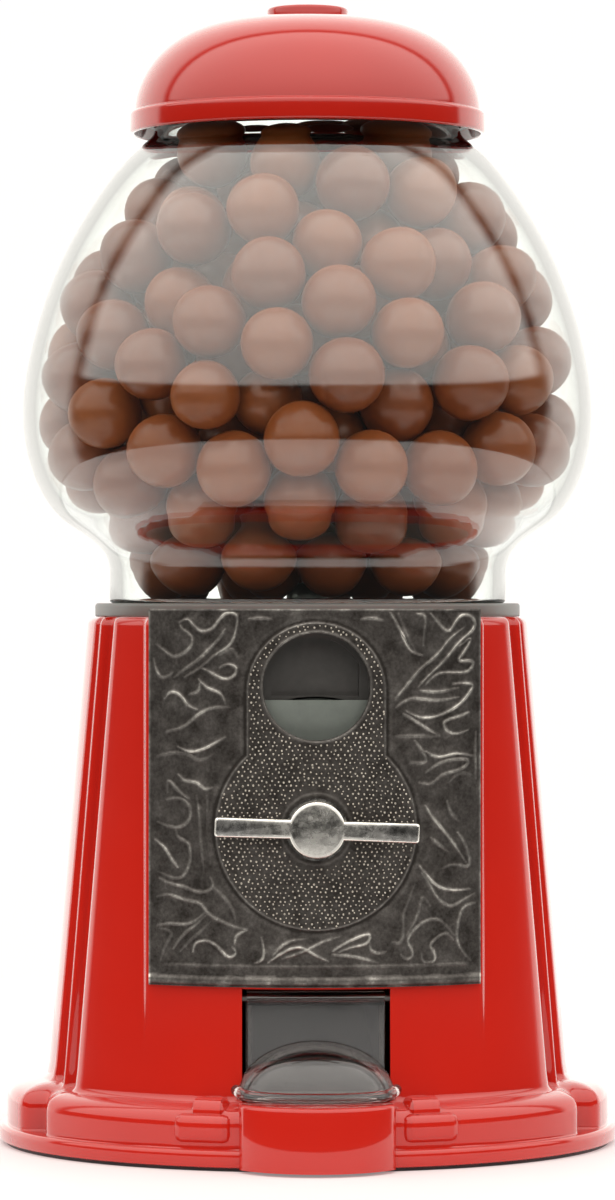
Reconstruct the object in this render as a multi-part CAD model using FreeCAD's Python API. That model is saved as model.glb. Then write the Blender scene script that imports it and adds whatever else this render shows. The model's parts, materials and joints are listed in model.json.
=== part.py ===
"""Gumball machine: a cast base, a glass globe of chocolate balls, a lift-off lid and a coin drive.

Origin on the globe's axis in the plane that the machine rests on, +Z up, the front faces -Y. Millimetres.
Each function below returns one sub-part, and parts/NODE.step holds it.
"""
import FreeCAD, Part
import math
import os
import random

V = FreeCAD.Vector

# ---- driving dimensions -------------------------------------------------------------------------
TOTAL_H = 281.0          # floor to the top of the lid's knob
FELT_T = 0.8             # felt pad under the base
COVER_TOP = 2.2          # bottom cover, from the felt up to the lugs

BRIM_R = 76.4            # lowest, widest rim of the casting
BRIM_TOP = 5.0
FLANGE_R = 74.5          # second layer of the foot
FLANGE_TOP = 15.6
FLANGE_ARC = 5.0         # rounding of the foot's shoulder
WALL = 2.4               # casting wall

BODY_R_LOW = 64.5        # side radius where the tapered body meets the foot
BODY_R_TOP = 54.7
BODY_TOP = 130.0
FRONT_EXTRA = 3.6        # the body's front and back bulge out further than its sides
# Each corner of the casting is a stair of three tiers: side, middle, front.
SIDE_REACH = (17.0, 25.2)        # half depth of the side tier: body, foot
MID_REACH = 25.5                 # half depth of the middle tier
MID_HALF = (60.2, 51.0, 69.3)    # its half width: body's foot, body's top, foot
FRONT_HALF = (57.1, 47.8, 64.2)  # half width of the front tier, likewise
PAD_R = 66.6             # upright cylinder that carries the face plate
PAD_HALF = 40.4
DECK_T = 2.4             # top wall of the casting

BUMP_HALF = 18.3         # shelf in front of the chute
BUMP_R = 21.0
BUMP_FRONT = 86.8
SHELF_Z = 15.8
MOUTH_HALF = 17.5        # chute opening in the front wall
MOUTH_TOP = 42.2

PLATE_T = 1.4            # face plate
PLATE_HALF = 39.5
PLATE_LOW = 42.7
PLATE_TOP = 131.9
BOSS_PROUD = 0.7         # keyhole boss on the plate
BOSS_R = 24.0
BOSS_NECK = 16.7
AXIS_Z = 80.0            # height of the handle's axis
WINDOW_R = 12.6
WINDOW_Z = 113.5
WINDOW_SLOT = (100.0, 126.8)     # height of the opening in the casting behind the window
SILL_Z = 110.3           # straight upper edge of the sill in the window
SILL_Y = (-60.4, -59.2)

SHAFT_R = 3.0
SHAFT_FLAT = 2.4         # height of the flat above the shaft's centre
FIT = 0.02               # radial gap of parts that are keyed together
RUN = 0.05               # radial gap of parts that turn on each other

HANDLE_LEN = 48.1
HANDLE_BAR = 4.6
HANDLE_TILT = 2.0        # degrees clockwise at rest
HUB_R = 6.8
HANDLE_FRONT = 73.0
HANDLE_BACK = 70.1

COIN_R = 12.4            # pocket for a coin of 24.3 mm
COIN_SLOT_T = 1.9
COIN_WHEEL_R = 30.6
COIN_WHEEL_FLAT = 30.3   # height of the coin wheel's flat above the axis
COIN_WHEEL_Y = -58.6     # front face

RATCHET_R = 18.0
RATCHET_TEETH = 16
RATCHET_PHASE = 11.6     # degrees that put a notch under the pawl at rest
RATCHET_Y = (-52.1, -50.1)
BRACKET_Y = (-49.5, -47.5)
REAR_LEG_Y = (-30.5, -28.5)

GEAR_M = 1.0             # module of the pinion and crown gear
PINION_TEETH = 11
CROWN_TEETH = 44
TOOTH_T = 1.15           # tooth width at the pitch line, thin for an easy mesh
ADDENDUM = 0.8
DEDENDUM = 1.1
CROWN_OUT = 23.4
CROWN_IN = 20.6

POCKETS = 4
POCKET_R = 9.8
POCKET_AT = 35.2         # radius of the pocket and drop-hole centres
WHEEL_R = 44.6
WHEEL_LOW = 116.2
WHEEL_TOP = 133.4
HOPPER_FLOOR = 115.8
HOPPER_R = 45.6
HOPPER_T = 1.4

TUBE_R = 11.3            # drop tube
TUBE_T = 1.3
CHUTE_HALF = 16.5        # sloping chute
CHUTE_T = 1.5
CHUTE_H = 21.0
CHUTE_FRONT = -60.0
CHUTE_BACK = 48.0
CHUTE_FLOOR_FRONT = 18.0
CHUTE_SLOPE = 0.155

PIN_Y = -62.2            # flap hinge
PIN_Z = 39.8
BARREL_R = 1.6
PIN_R = 0.9
FLAP_HALF = 16.3
SCOOP = (19.0, 15.0, 13.6)       # half-axes of the flap's scoop in X, Y and Z
LIP = 0.9                # bead round the scoop's mouth
SCOOP_Y = -64.0
SCOOP_T = 1.5

GLOBE_LOW = 133.2
GLOBE_TOP = 256.2
GLOBE_T = 3.2
GLOBE_NECK_R = 49.3
GLOBE_MOUTH_R = 37.5
# outline of the bulb between the two necks: radius, height
GLOBE_BULB = ((49.3, 141.6), (50.1, 144.6), (54.2, 149.1), (61.0, 153.9), (67.6, 163.6), (70.8, 179.5),
              (68.3, 198.5), (61.3, 218.4), (52.8, 233.3), (45.2, 243.0), (41.2, 246.6), (38.2, 249.6),
              (37.5, 252.4))

LID_R = 44.3             # rolled rim
LID_LOW = 249.6
LID_SHOULDER = 255.2
LID_DOME_R = 43.1
LID_DOME_TOP = 278.5
LID_T = 1.3
KNOB_R = 10.1

BALL_R = 8.9
BALL_SPREAD = 0.035      # share by which a ball's radius varies
BALL_GAP = 0.06
BALL_LIMIT = 230
BALL_CELL = 20.0         # pitch of the grid that finds neighbours
RELAX_TURNS = 420

LUG_R = 3.6              # lugs that take the bottom cover's screws
LUG_AT = 66.0
LUG_ANGLES = (45, 135, 225, 315)
PLATE_SCREW_ANGLE = 32.5
PLATE_SCREW_Z = (48.2, 122.0)
POST_R = 2.6             # posts on the face plate that carry the mechanism bracket
POST_X = 26.0
POST_Z = (56.0, 104.0)
NUT_R = 5.2              # cap nut on the dispensing wheel
NUT_TOP = WHEEL_TOP + 5.4
BUSH_R = 7.3


# ---- small helpers ------------------------------------------------------------------------------
def cyl(r, z0, z1, x=0.0, y=0.0):
    return Part.makeCylinder(r, z1 - z0, V(x, y, z0))


def cyl_y(r, y0, y1, x=0.0, z=AXIS_Z):
    return Part.makeCylinder(r, y1 - y0, V(x, y0, z), V(0, 1, 0))


def cyl_x(r, x0, x1, y, z):
    return Part.makeCylinder(r, x1 - x0, V(x0, y, z), V(1, 0, 0))


def box(x0, x1, y0, y1, z0, z1):
    return Part.makeBox(x1 - x0, y1 - y0, z1 - z0, V(x0, y0, z0))


def face_from(points):
    return Part.Face(Part.makePolygon([V(*p) for p in points] + [V(*points[0])]))


def spun(outline):
    """Solid of revolution about Z from (radius, height) corners."""
    return face_from([(r, 0, z) for r, z in outline]).revolve(V(0, 0, 0), V(0, 0, 1), 360)


def spun_edges(edges):
    """Solid of revolution about Z from edges in the XZ plane."""
    return Part.Face(Part.Wire(edges)).revolve(V(0, 0, 0), V(0, 0, 1), 360)


def line(a, b):
    return Part.makeLine(V(a[0], 0, a[1]), V(b[0], 0, b[1]))


def curve(points):
    """Smooth curve through (radius, height) points."""
    spline = Part.BSplineCurve()
    spline.interpolate([V(r, 0, z) for r, z in points])
    return spline


def wedge(half_angle, facing):
    """Everything within half_angle degrees of the front (facing -1) or the back (facing 1)."""
    reach = 120.0
    side = reach * math.tan(math.radians(half_angle))
    corners = [(0, 0, -5), (-side, facing * reach, -5), (side, facing * reach, -5)]
    return face_from(corners).extrude(V(0, 0, 150))


def turned(shape, degrees):
    out = shape.copy()
    out.rotate(V(0, 0, 0), V(0, 0, 1), degrees)
    return out


def joined(shapes):
    first = shapes[0]
    return first.fuse(shapes[1:]).removeSplitter() if len(shapes) > 1 else first


def radial_cyl(r, r0, r1, angle, z):
    """Cylinder along a radius; angle is in degrees from the front, positive to +X."""
    a = math.radians(angle)
    way = V(math.sin(a), -math.cos(a), 0)
    return Part.makeCylinder(r, r1 - r0, way * r0 + V(0, 0, z), way)


def body_radius(z):
    return BODY_R_LOW + (BODY_R_TOP - BODY_R_LOW) * (z - FLANGE_TOP) / (BODY_TOP - FLANGE_TOP)


# ---- base ---------------------------------------------------------------------------------------
def body_cone(extra, z0, z1):
    return Part.makeCone(body_radius(z0) + extra, body_radius(z1) + extra, z1 - z0, V(0, 0, z0))


def shoulder(half, arc, top):
    """Edge of the foot in section: upright side, round shoulder, and its top up to the middle."""
    low = FLANGE_TOP - FLANGE_ARC
    mid = (half - arc * (1 - math.cos(math.pi / 4)), low + arc * math.sin(math.pi / 4))
    arc_edge = Part.Arc(V(half, 0, low), V(mid[0], 0, mid[1]), V(half - arc, 0, top)).toShape()
    return [line((0, FELT_T), (half, FELT_T)), line((half, FELT_T), (half, low)), arc_edge]


def foot_layer(inset):
    """Round second layer of the foot."""
    half, arc, top = FLANGE_R - inset, FLANGE_ARC - inset, FLANGE_TOP - inset
    closing = [line((half - arc, top), (0, top)), line((0, top), (0, FELT_T))]
    return spun_edges(shoulder(half, arc, top) + closing)


def tier_block(halves, reach, inset):
    """Block as wide as its tier at each height, from -reach to reach in Y."""
    foot, crown, flange = (half - inset for half in halves)
    arc, top = FLANGE_ARC - inset, FLANGE_TOP - inset
    body_top = BODY_TOP - (DECK_T if inset else 0)
    corners = [(flange - arc, top), (foot, top), (crown, body_top), (0, body_top), (0, FELT_T)]
    walls = [line(a, b) for a, b in zip(corners[:-1], corners[1:])]
    edges = Part.__sortEdges__(shoulder(flange, arc, top) + walls)
    right = Part.Face(Part.Wire(edges)).extrude(V(0, 2 * reach, 0))
    right.translate(V(0, -reach, 0))
    return right.fuse(right.mirror(V(0, 0, 0), V(1, 0, 0))).removeSplitter()


def deep(reach):
    return box(-90, 90, -reach, reach, 0, 200)


def casting(inset):
    """The stepped body on its foot, as a filled shape; inset moves every wall inwards."""
    top = BODY_TOP - (DECK_T if inset else 0)
    low = FLANGE_TOP - inset - 1
    front = body_cone(FRONT_EXTRA - inset, low, top).fuse(foot_layer(inset))
    return [body_cone(-inset, low, top).common(deep(SIDE_REACH[0] - inset)),
            foot_layer(inset).common(deep(SIDE_REACH[1] - inset)),
            tier_block(MID_HALF, MID_REACH - inset, inset),
            front.common(tier_block(FRONT_HALF, 90, inset))]


def brim():
    rim = cyl(BRIM_R, FELT_T, BRIM_TOP)
    return rim.makeFillet(1.2, [e for e in rim.Edges if isinstance(e.Curve, Part.Circle)])


def bump(inset, z0, z1):
    half = BUMP_HALF - inset
    r = BUMP_R - inset
    centre_y = -BUMP_FRONT + BUMP_R
    side_y = centre_y - math.sqrt(r * r - half * half)
    front = Part.Arc(V(-half, side_y, z0), V(0, centre_y - r, z0), V(half, side_y, z0)).toShape()
    sides = [Part.makeLine(V(half, side_y, z0), V(half, -55, z0)),
             Part.makeLine(V(half, -55, z0), V(-half, -55, z0)),
             Part.makeLine(V(-half, -55, z0), V(-half, side_y, z0))]
    return Part.Face(Part.Wire([front] + sides)).extrude(V(0, 0, z1 - z0))


def lug_places():
    return [(LUG_AT * math.cos(math.radians(a)), LUG_AT * math.sin(math.radians(a))) for a in LUG_ANGLES]


def plate_screw_places():
    return [(side * PLATE_SCREW_ANGLE, z) for side in (-1, 1) for z in PLATE_SCREW_Z]


def base_body():
    inner_top = BODY_TOP - DECK_T
    pad = cyl(PAD_R, 20, BODY_TOP).common(box(-PAD_HALF, PAD_HALF, -90, 0, 20, BODY_TOP))
    inner_half = PAD_HALF - WALL
    inner_pad = cyl(PAD_R - WALL, 0, inner_top).common(box(-inner_half, inner_half, -90, 0, 0, inner_top))
    outer = [brim(), pad, bump(0, FELT_T, SHELF_Z)] + casting(0.0)
    cover_seat = cyl(FLANGE_R - WALL, 0, COVER_TOP)
    inner = [cover_seat, inner_pad, bump(WALL, 0, SHELF_Z - WALL)] + casting(WALL)
    shell = joined(outer).cut(joined(inner))
    lugs = [cyl(LUG_R, COVER_TOP, FLANGE_TOP - 1, x, y) for x, y in lug_places()]
    shell = joined([shell] + lugs)
    cuts = [cyl(HOPPER_R + HOPPER_T + 0.3, inner_top - 1, BODY_TOP + 1),
            box(-MOUTH_HALF, MOUTH_HALF, -75, -55, SHELF_Z, MOUTH_TOP),
            cyl_y(COIN_WHEEL_R + 1.0, -75, -40),
            box(-16, 16, -75, -40, *WINDOW_SLOT),
            cyl_x(PIN_R, -19.6, 19.6, PIN_Y, PIN_Z)]
    cuts += [cyl(1.2, COVER_TOP - 1, COVER_TOP + 7, x, y) for x, y in lug_places()]
    cuts += [radial_cyl(2.6, 60, 70, angle, z) for angle, z in plate_screw_places()]
    cuts += [cyl_y(POST_R + 0.6, -70, -50, x, z) for x, z in post_places()]
    cuts += [cyl(1.2, BODY_TOP - 4, BODY_TOP + 1, x, y) for x, y in hopper_screw_places()]
    return shell.cut(cuts)


def base_felt():
    return cyl(74.8, 0, FELT_T)


def countersink(x, y, gap):
    """Cone of a flat-head screw that is driven up through the bottom cover."""
    return Part.makeCone(2.4 + gap, 1.18 + gap, 1.2, V(x, y, FELT_T))


def bottom_cover():
    plate = cyl(71.2, FELT_T, COVER_TOP)
    places = lug_places() + chute_leg_places()
    holes = [countersink(x, y, 0.06) for x, y in places] + [cyl(1.26, 0, 4, x, y) for x, y in places]
    return plate.cut(holes)


def screw_up(x, y):
    shank = cyl(1.18, FELT_T + 1.2, COVER_TOP + 6.5, x, y)
    return countersink(x, y, 0.0).fuse(shank).removeSplitter()


def bottom_cover_screws():
    return Part.makeCompound([screw_up(x, y) for x, y in lug_places()])


# ---- face plate and coin path -------------------------------------------------------------------
def post_places():
    return [(side * POST_X, z) for side in (-1, 1) for z in POST_Z]


def plate_skin(r0, r1, half, z0, z1):
    return cyl(r1, z0, z1).cut(cyl(r0, z0 - 1, z1 + 1)).common(box(-half, half, -90, 0, z0, z1))


def keyhole_prism():
    neck = box(-BOSS_NECK, BOSS_NECK, -90, 0, AXIS_Z, WINDOW_Z - 1.5)
    return joined([cyl_y(BOSS_R, -90, 0), neck, cyl_y(BOSS_NECK, -90, 0, 0, WINDOW_Z - 1.5)])


def face_plate():
    skin = plate_skin(PAD_R, PAD_R + PLATE_T, PLATE_HALF, PLATE_LOW, PLATE_TOP)
    boss = plate_skin(PAD_R + 0.5, PAD_R + PLATE_T + BOSS_PROUD, PLATE_HALF, PLATE_LOW, PLATE_TOP)
    sill = plate_skin(PAD_R + 0.5, PAD_R + PLATE_T + 0.9, PLATE_HALF, PLATE_LOW, PLATE_LOW + 3.2)
    inside = cyl(PAD_R + 0.5, 0, 140)
    posts = [cyl_y(POST_R, -65.5, BRACKET_Y[0], x, z).common(inside) for x, z in post_places()]
    bosses = [radial_cyl(2.5, PAD_R - WALL + 0.1, PAD_R + 0.6, angle, z) for angle, z in plate_screw_places()]
    plate = joined([skin, boss.common(keyhole_prism()), sill] + posts + bosses)
    cuts = [cyl_y(WINDOW_R, -90, -50, 0, WINDOW_Z), cyl_y(6.0, -90, -50)]
    cuts += [radial_cyl(1.1, 60, PAD_R + 0.7, angle, z) for angle, z in plate_screw_places()]
    cuts += [cyl_y(1.1, BRACKET_Y[0] - 6, BRACKET_Y[0] + 1, x, z) for x, z in post_places()]
    return plate.cut(cuts)


def face_plate_screws():
    seat = PAD_R - WALL - 0.12
    screws = []
    for angle, z in plate_screw_places():
        head = radial_cyl(3.3, seat - 1.4, seat, angle, z)
        screws.append(head.fuse(radial_cyl(1.08, seat, PAD_R + 0.5, angle, z)))
    return Part.makeCompound(screws)


def shaft_hole(gap):
    """Round hole with one flat along the handle's axis."""
    r = SHAFT_R + gap
    return cyl_y(r, -70, -10).cut(box(-r, r, -71, -9, AXIS_Z + SHAFT_FLAT + gap, AXIS_Z + r + 1))


def front_bush():
    flange = cyl_y(BUSH_R, -(PAD_R + PLATE_T + BOSS_PROUD + 1.2), -(PAD_R + PLATE_T + BOSS_PROUD))
    sleeve = cyl_y(6.0 - RUN, -(PAD_R + PLATE_T + BOSS_PROUD), -60.0)
    return flange.fuse(sleeve).cut(cyl_y(SHAFT_R + RUN, -80, -50)).removeSplitter()


def handle():
    bar = box(-HANDLE_LEN / 2, HANDLE_LEN / 2, -HANDLE_FRONT + 0.3, -HANDLE_BACK - 0.3,
              AXIS_Z - HANDLE_BAR / 2, AXIS_Z + HANDLE_BAR / 2)
    bar = bar.makeChamfer(0.6, [e for e in bar.Edges if e.CenterOfMass.y < -HANDLE_FRONT + 0.4])
    hub = cyl_y(HUB_R, -HANDLE_FRONT, -HANDLE_BACK)
    hub = hub.makeChamfer(0.7, [e for e in hub.Edges if e.CenterOfMass.y < -HANDLE_FRONT + 0.1
                                and isinstance(e.Curve, Part.Circle)])
    whole = bar.fuse(hub).removeSplitter().cut(cyl_y(2.2, -HANDLE_BACK - 1.6, -HANDLE_BACK + 1))
    whole.rotate(V(0, 0, AXIS_Z), V(0, 1, 0), HANDLE_TILT)
    return whole


def handle_shaft():
    flats = box(-5, 5, -58.9, -10, AXIS_Z + SHAFT_FLAT, AXIS_Z + 5)
    shaft = cyl_y(SHAFT_R, -HANDLE_BACK, -16.4).cut(flats)
    return shaft.fuse(cyl_y(2.2, -HANDLE_BACK - 1.6, -HANDLE_BACK)).removeSplitter()


def coin_wheel():
    y0 = COIN_WHEEL_Y
    slot_front = y0 + 1.2
    slot_back = slot_front + COIN_SLOT_T
    flat = box(-20, 20, y0 - 1, slot_back, AXIS_Z + COIN_WHEEL_FLAT, 120)
    disc = cyl_y(COIN_WHEEL_R, y0, y0 + 5.0).cut(flat)
    pocket = cyl_y(COIN_R, slot_front, slot_back, 0, AXIS_Z + COIN_WHEEL_FLAT + 0.8)
    return disc.cut([pocket, shaft_hole(FIT)])


def coin_guide():
    """Fixed block above the coin wheel, with the recess that backs the upper half of the coin."""
    block = box(-20, 20, -58.4, -53.8, 100, 126.5).cut(cyl_y(COIN_WHEEL_R + 0.5, -60, -50))
    block = block.common(cyl(PAD_R - 0.4, 90, 130))
    recess = cyl_y(11.6, -60, -55.3, 0, WINDOW_Z).common(box(-10.4, 10.4, -60, -55.3, 111.2, 130))
    arms = [box(s * 23.5 - 6.5, s * 23.5 + 6.5, -53.8, BRACKET_Y[0], 111.5, 125.5) for s in (-1, 1)]
    tail = box(-17, 17, -53.8, BRACKET_Y[0], 112.5, 125.5)
    holes = [cyl_y(1.1, BRACKET_Y[0] - 3.2, BRACKET_Y[0] + 1, s * 25.0, 118.5) for s in (-1, 1)]
    return joined([block.cut(recess), tail] + arms).cut(holes)


def coin_sill():
    """Front wall of the coin slot: it closes the window's lower part, and its ears stand on the guide."""
    front, back = SILL_Y
    half, guide_front = 15.4, -58.4
    parts = [box(-half, half, front, back, WINDOW_SLOT[0] + 0.6, SILL_Z)]
    for x0, x1 in ((-half, -12.8), (12.8, half)):
        parts.append(box(x0, x1, front, back, SILL_Z - 1, 121))
        parts.append(box(x0, x1, back, guide_front, 113, 121))
    return joined(parts)


def bracket_screws():
    screws = []
    places = [(x, z, 5.0) for x, z in post_places()] + [(s * 25.0, 118.5, 2.6) for s in (-1, 1)]
    for x, z, reach in places:
        head = cyl_y(2.4, BRACKET_Y[1], BRACKET_Y[1] + 1.4, x, z)
        screws.append(head.fuse(cyl_y(1.08, BRACKET_Y[0] - reach, BRACKET_Y[1], x, z)))
    return Part.makeCompound(screws)


PAWL_X = -24.6
PAWL_Z = 88.0
PAWL_TAIL = 2.4
SPRING_X = PAWL_X - 5.0
SPRING_LEN = 3.2
SPRING_WIRE = 0.25
SPRING_R = 1.1
SPRING_LOW = PAWL_Z - PAWL_TAIL / 2 - SPRING_LEN


def mechanism_bracket():
    """Bent steel frame behind the coin wheel: a front web, two sides and a rear leg."""
    web = box(-30, 30, BRACKET_Y[0], BRACKET_Y[1], 51.5, 124.0)
    spring_ear = box(SPRING_X - 2, SPRING_X + 2, RATCHET_Y[0] - 0.5, BRACKET_Y[1],
                     SPRING_LOW - 0.9, SPRING_LOW)
    sides = [box(s * 18 - 0.8, s * 18 + 0.8, BRACKET_Y[1], REAR_LEG_Y[1], 71, 89) for s in (-1, 1)]
    leg = box(-18, 18, REAR_LEG_Y[0], REAR_LEG_Y[1], 71, 89)
    holes = [cyl_y(5.5, -52, -47), cyl_y(5.0, -31, -28), cyl_y(1.2, -52, -47, PAWL_X, PAWL_Z)]
    holes += [cyl_y(1.2, -52, -47, x, z) for x, z in post_places()]
    holes += [cyl_y(1.2, -52, -47, s * 25.0, 118.5) for s in (-1, 1)]
    return joined([web, leg, spring_ear] + sides).cut(holes)


def rear_bush():
    sleeve = cyl_y(5.0 - FIT, REAR_LEG_Y[0], REAR_LEG_Y[1] + 0.8)
    flange = cyl_y(6.5, REAR_LEG_Y[0] - 1.0, REAR_LEG_Y[0])
    return sleeve.fuse(flange).cut(cyl_y(SHAFT_R + RUN, -40, -20)).removeSplitter()


def ratchet_wheel():
    """Saw teeth that let the handle turn clockwise only."""
    points = []
    root = RATCHET_R - 2.2
    for tooth in range(RATCHET_TEETH):
        a = math.radians(RATCHET_PHASE + tooth * 360 / RATCHET_TEETH)
        b = math.radians(RATCHET_PHASE + (tooth + 0.12) * 360 / RATCHET_TEETH)
        points.append((root * math.sin(a), RATCHET_Y[0], AXIS_Z + root * math.cos(a)))
        points.append((RATCHET_R * math.sin(b), RATCHET_Y[0], AXIS_Z + RATCHET_R * math.cos(b)))
    disc = face_from(points).extrude(V(0, RATCHET_Y[1] - RATCHET_Y[0], 0))
    hub = cyl_y(6.5, COIN_WHEEL_Y + 5.0, RATCHET_Y[0])
    return disc.fuse(hub).cut(shaft_hole(FIT)).removeSplitter()


def pawl():
    """Finger on a pivot; at rest its tip rides just outside the ratchet's teeth."""
    y0 = RATCHET_Y[0] + 0.1
    y1 = RATCHET_Y[1] - 0.1
    tip = (-15.97, 89.06)
    arm = [(PAWL_X - 2.0, y0, PAWL_Z + 2.4), (tip[0] - 0.6, y0, tip[1] + 1.6), (tip[0], y0, tip[1]),
           (tip[0] - 1.6, y0, tip[1] - 1.4), (PAWL_X + 1.0, y0, PAWL_Z - 3.0)]
    finger = face_from(arm).extrude(V(0, y1 - y0, 0))
    eye = cyl_y(3.0, y0, y1, PAWL_X, PAWL_Z)
    tail = box(SPRING_X - 1.8, PAWL_X, y0, y1, PAWL_Z - PAWL_TAIL / 2, PAWL_Z + PAWL_TAIL / 2)
    return joined([finger, eye, tail]).cut(cyl_y(1.6 + RUN, y0 - 1, y1 + 1, PAWL_X, PAWL_Z))


def pawl_pivot_screw():
    journal = cyl_y(1.6, RATCHET_Y[0] - 0.2, BRACKET_Y[0], PAWL_X, PAWL_Z)
    head = cyl_y(2.8, RATCHET_Y[0] - 1.2, RATCHET_Y[0] - 0.2, PAWL_X, PAWL_Z)
    shank = cyl_y(1.18, BRACKET_Y[0], BRACKET_Y[1] + 1.0, PAWL_X, PAWL_Z)
    return joined([head, journal, shank])


def pawl_spring():
    """Short coil between the bracket's ear and the pawl's tail."""
    rise = SPRING_LEN - 2 * SPRING_WIRE - 0.1
    coil = Part.makeHelix(rise / 3, rise, SPRING_R)
    ring = Part.Wire(Part.makeCircle(SPRING_WIRE, V(SPRING_R, 0, 0), V(0, 1, 0.1)))
    spring = Part.Wire(coil).makePipeShell([ring], True, False)
    spring.translate(V(SPRING_X, (RATCHET_Y[0] + RATCHET_Y[1]) / 2, SPRING_LOW + SPRING_WIRE + 0.05))
    return spring


# ---- gears --------------------------------------------------------------------------------------
def drive_pinion():
    pitch = GEAR_M * PINION_TEETH / 2
    root = pitch - DEDENDUM
    tip = pitch + ADDENDUM
    y0, y1 = -25.0, -19.0
    blank = cyl_y(root, y0 - 2.2, y1)
    tooth_points = [(-0.95, y0, root - 0.3), (0.95, y0, root - 0.3), (TOOTH_T / 2, y0, pitch),
                    (0.22, y0, tip), (-0.22, y0, tip), (-TOOTH_T / 2, y0, pitch)]
    tooth = face_from(tooth_points).extrude(V(0, y1 - y0, 0))
    teeth = []
    for i in range(PINION_TEETH):
        one = tooth.copy()
        one.rotate(V(0, 0, 0), V(0, 1, 0), i * 360 / PINION_TEETH)
        one.translate(V(0, 0, AXIS_Z))
        teeth.append(one)
    return joined([blank] + teeth).cut(shaft_hole(FIT))


PITCH_Z = AXIS_Z + GEAR_M * PINION_TEETH / 2


def crown_gear():
    """Face gear on the upright shaft, teeth down."""
    root = PITCH_Z + DEDENDUM
    tip = PITCH_Z - ADDENDUM
    parts = [cyl(CROWN_OUT, root, root + 3.0), cyl(6.0, root, 97.3)]
    tooth_points = [(-0.9, -CROWN_OUT + 0.1, root + 0.3), (0.9, -CROWN_OUT + 0.1, root + 0.3),
                    (TOOTH_T / 2, -CROWN_OUT + 0.1, PITCH_Z), (0.22, -CROWN_OUT + 0.1, tip),
                    (-0.22, -CROWN_OUT + 0.1, tip), (-TOOTH_T / 2, -CROWN_OUT + 0.1, PITCH_Z)]
    tooth = face_from(tooth_points).extrude(V(0, CROWN_OUT - CROWN_IN, 0))
    # a gap between two teeth faces the pinion's upper tooth
    parts += [turned(tooth, (i + 0.5) * 360 / CROWN_TEETH) for i in range(CROWN_TEETH)]
    cuts = [cyl(SHAFT_R + FIT, 80, 100)]
    cuts += [turned(cyl(3.0, 80, 95, 13.5, 0), 60 * k) for k in range(6)]
    return joined(parts).cut(cuts)


def drive_shaft():
    return cyl(SHAFT_R, 84.6, 137.6)


def shaft_clip():
    return cyl_y(4.8, -18.9, -18.1).cut(shaft_hole(FIT))


def drive_shaft_clip():
    return cyl(4.8, 85.4, 86.4).cut(cyl(SHAFT_R + FIT, 80, 90))


def centre_bush():
    return cyl(5.0, 98.0, 115.8).cut(cyl(SHAFT_R + RUN, 90, 120))


def hopper_screw_places():
    return [(49.3 * math.cos(math.radians(a)), 49.3 * math.sin(math.radians(a))) for a in (20, 160, 270)]


def hopper():
    """Cup under the globe: a floor with the drop hole, a wall and a flange on the casting's deck."""
    cup = spun([(0, 98.4), (7.4, 98.4), (7.4, HOPPER_FLOOR - 2.4), (HOPPER_R + HOPPER_T, HOPPER_FLOOR - 2.4),
                (HOPPER_R + HOPPER_T, BODY_TOP), (51.4, BODY_TOP), (51.4, BODY_TOP + 1.2),
                (HOPPER_R, BODY_TOP + 1.2), (HOPPER_R, HOPPER_FLOOR), (0, HOPPER_FLOOR)])
    ribs = [turned(box(7, 44, -0.8, 0.8, 105, HOPPER_FLOOR - 2.4), a) for a in (-150, -90, -30)]
    holes = [cyl(5.0 + FIT, 90, 120), cyl(10.2, 100, 120, 0, POCKET_AT)]
    holes += [Part.makeCone(1.2, 2.32, 1.2, V(x, y, BODY_TOP)) for x, y in hopper_screw_places()]
    return joined([cup] + ribs).cut(holes)


def hopper_screws():
    screws = []
    for x, y in hopper_screw_places():
        head = Part.makeCone(1.18, 2.2, 1.1, V(x, y, BODY_TOP))
        screws.append(cyl(1.18, BODY_TOP - 2.4, BODY_TOP, x, y).fuse(head))
    return Part.makeCompound(screws)


def drop_hole_cover():
    """Thin steel roof that keeps the balls above from falling through with the one in the pocket."""
    sector = wedge(24, 1)
    roof = cyl(HOPPER_R - 0.1, 134.3, 134.9).cut(cyl(20, 130, 140)).common(sector)
    foot = cyl(HOPPER_R - 0.05, 124, 134.9).cut(cyl(HOPPER_R - 0.6, 120, 140)).common(sector)
    return roof.fuse(foot).removeSplitter()


def dispensing_wheel():
    blank = cyl(WHEEL_R, WHEEL_LOW, WHEEL_TOP)
    cuts = [cyl(SHAFT_R + FIT, 110, 140)]
    for i in range(POCKETS):
        a = math.radians(45 + i * 360 / POCKETS)
        cuts.append(cyl(POCKET_R, 110, 140, POCKET_AT * math.cos(a), POCKET_AT * math.sin(a)))
        b = math.radians(i * 360 / POCKETS)
        cuts.append(cyl(7.5, 110, WHEEL_TOP - 2.4, 29 * math.cos(b), 29 * math.sin(b)))
    return blank.cut(cuts)


def wheel_cap_nut():
    nut = cyl(NUT_R, WHEEL_TOP, NUT_TOP)
    return nut.makeFillet(2.0, [e for e in nut.Edges if e.CenterOfMass.z > WHEEL_TOP + 5]).cut(
        cyl(SHAFT_R + FIT, WHEEL_TOP - 1, 137.6 + FIT))


# ---- chute and flap -----------------------------------------------------------------------------
def chute_floor(y):
    return CHUTE_FLOOR_FRONT + (y - CHUTE_FRONT) * CHUTE_SLOPE


def duct(half, y0, y1, below, above):
    corners = [(-half, y0, chute_floor(y0) + below), (-half, y1, chute_floor(y1) + below),
               (-half, y1, chute_floor(y1) + above), (-half, y0, chute_floor(y0) + above)]
    return face_from(corners).extrude(V(2 * half, 0, 0))


def chute_leg_places():
    return [(x, y) for x in (-12.0, 12.0) for y in (-36.0, 38.0)]


def drop_tube():
    """Upright tube from the hopper's drop hole down to the chute's sloping roof."""
    tube = cyl(TUBE_R, 45, HOPPER_FLOOR - 2.6, 0, POCKET_AT).cut(chute_outside())
    return tube.cut(cyl(TUBE_R - TUBE_T, 45, HOPPER_FLOOR, 0, POCKET_AT))


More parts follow.
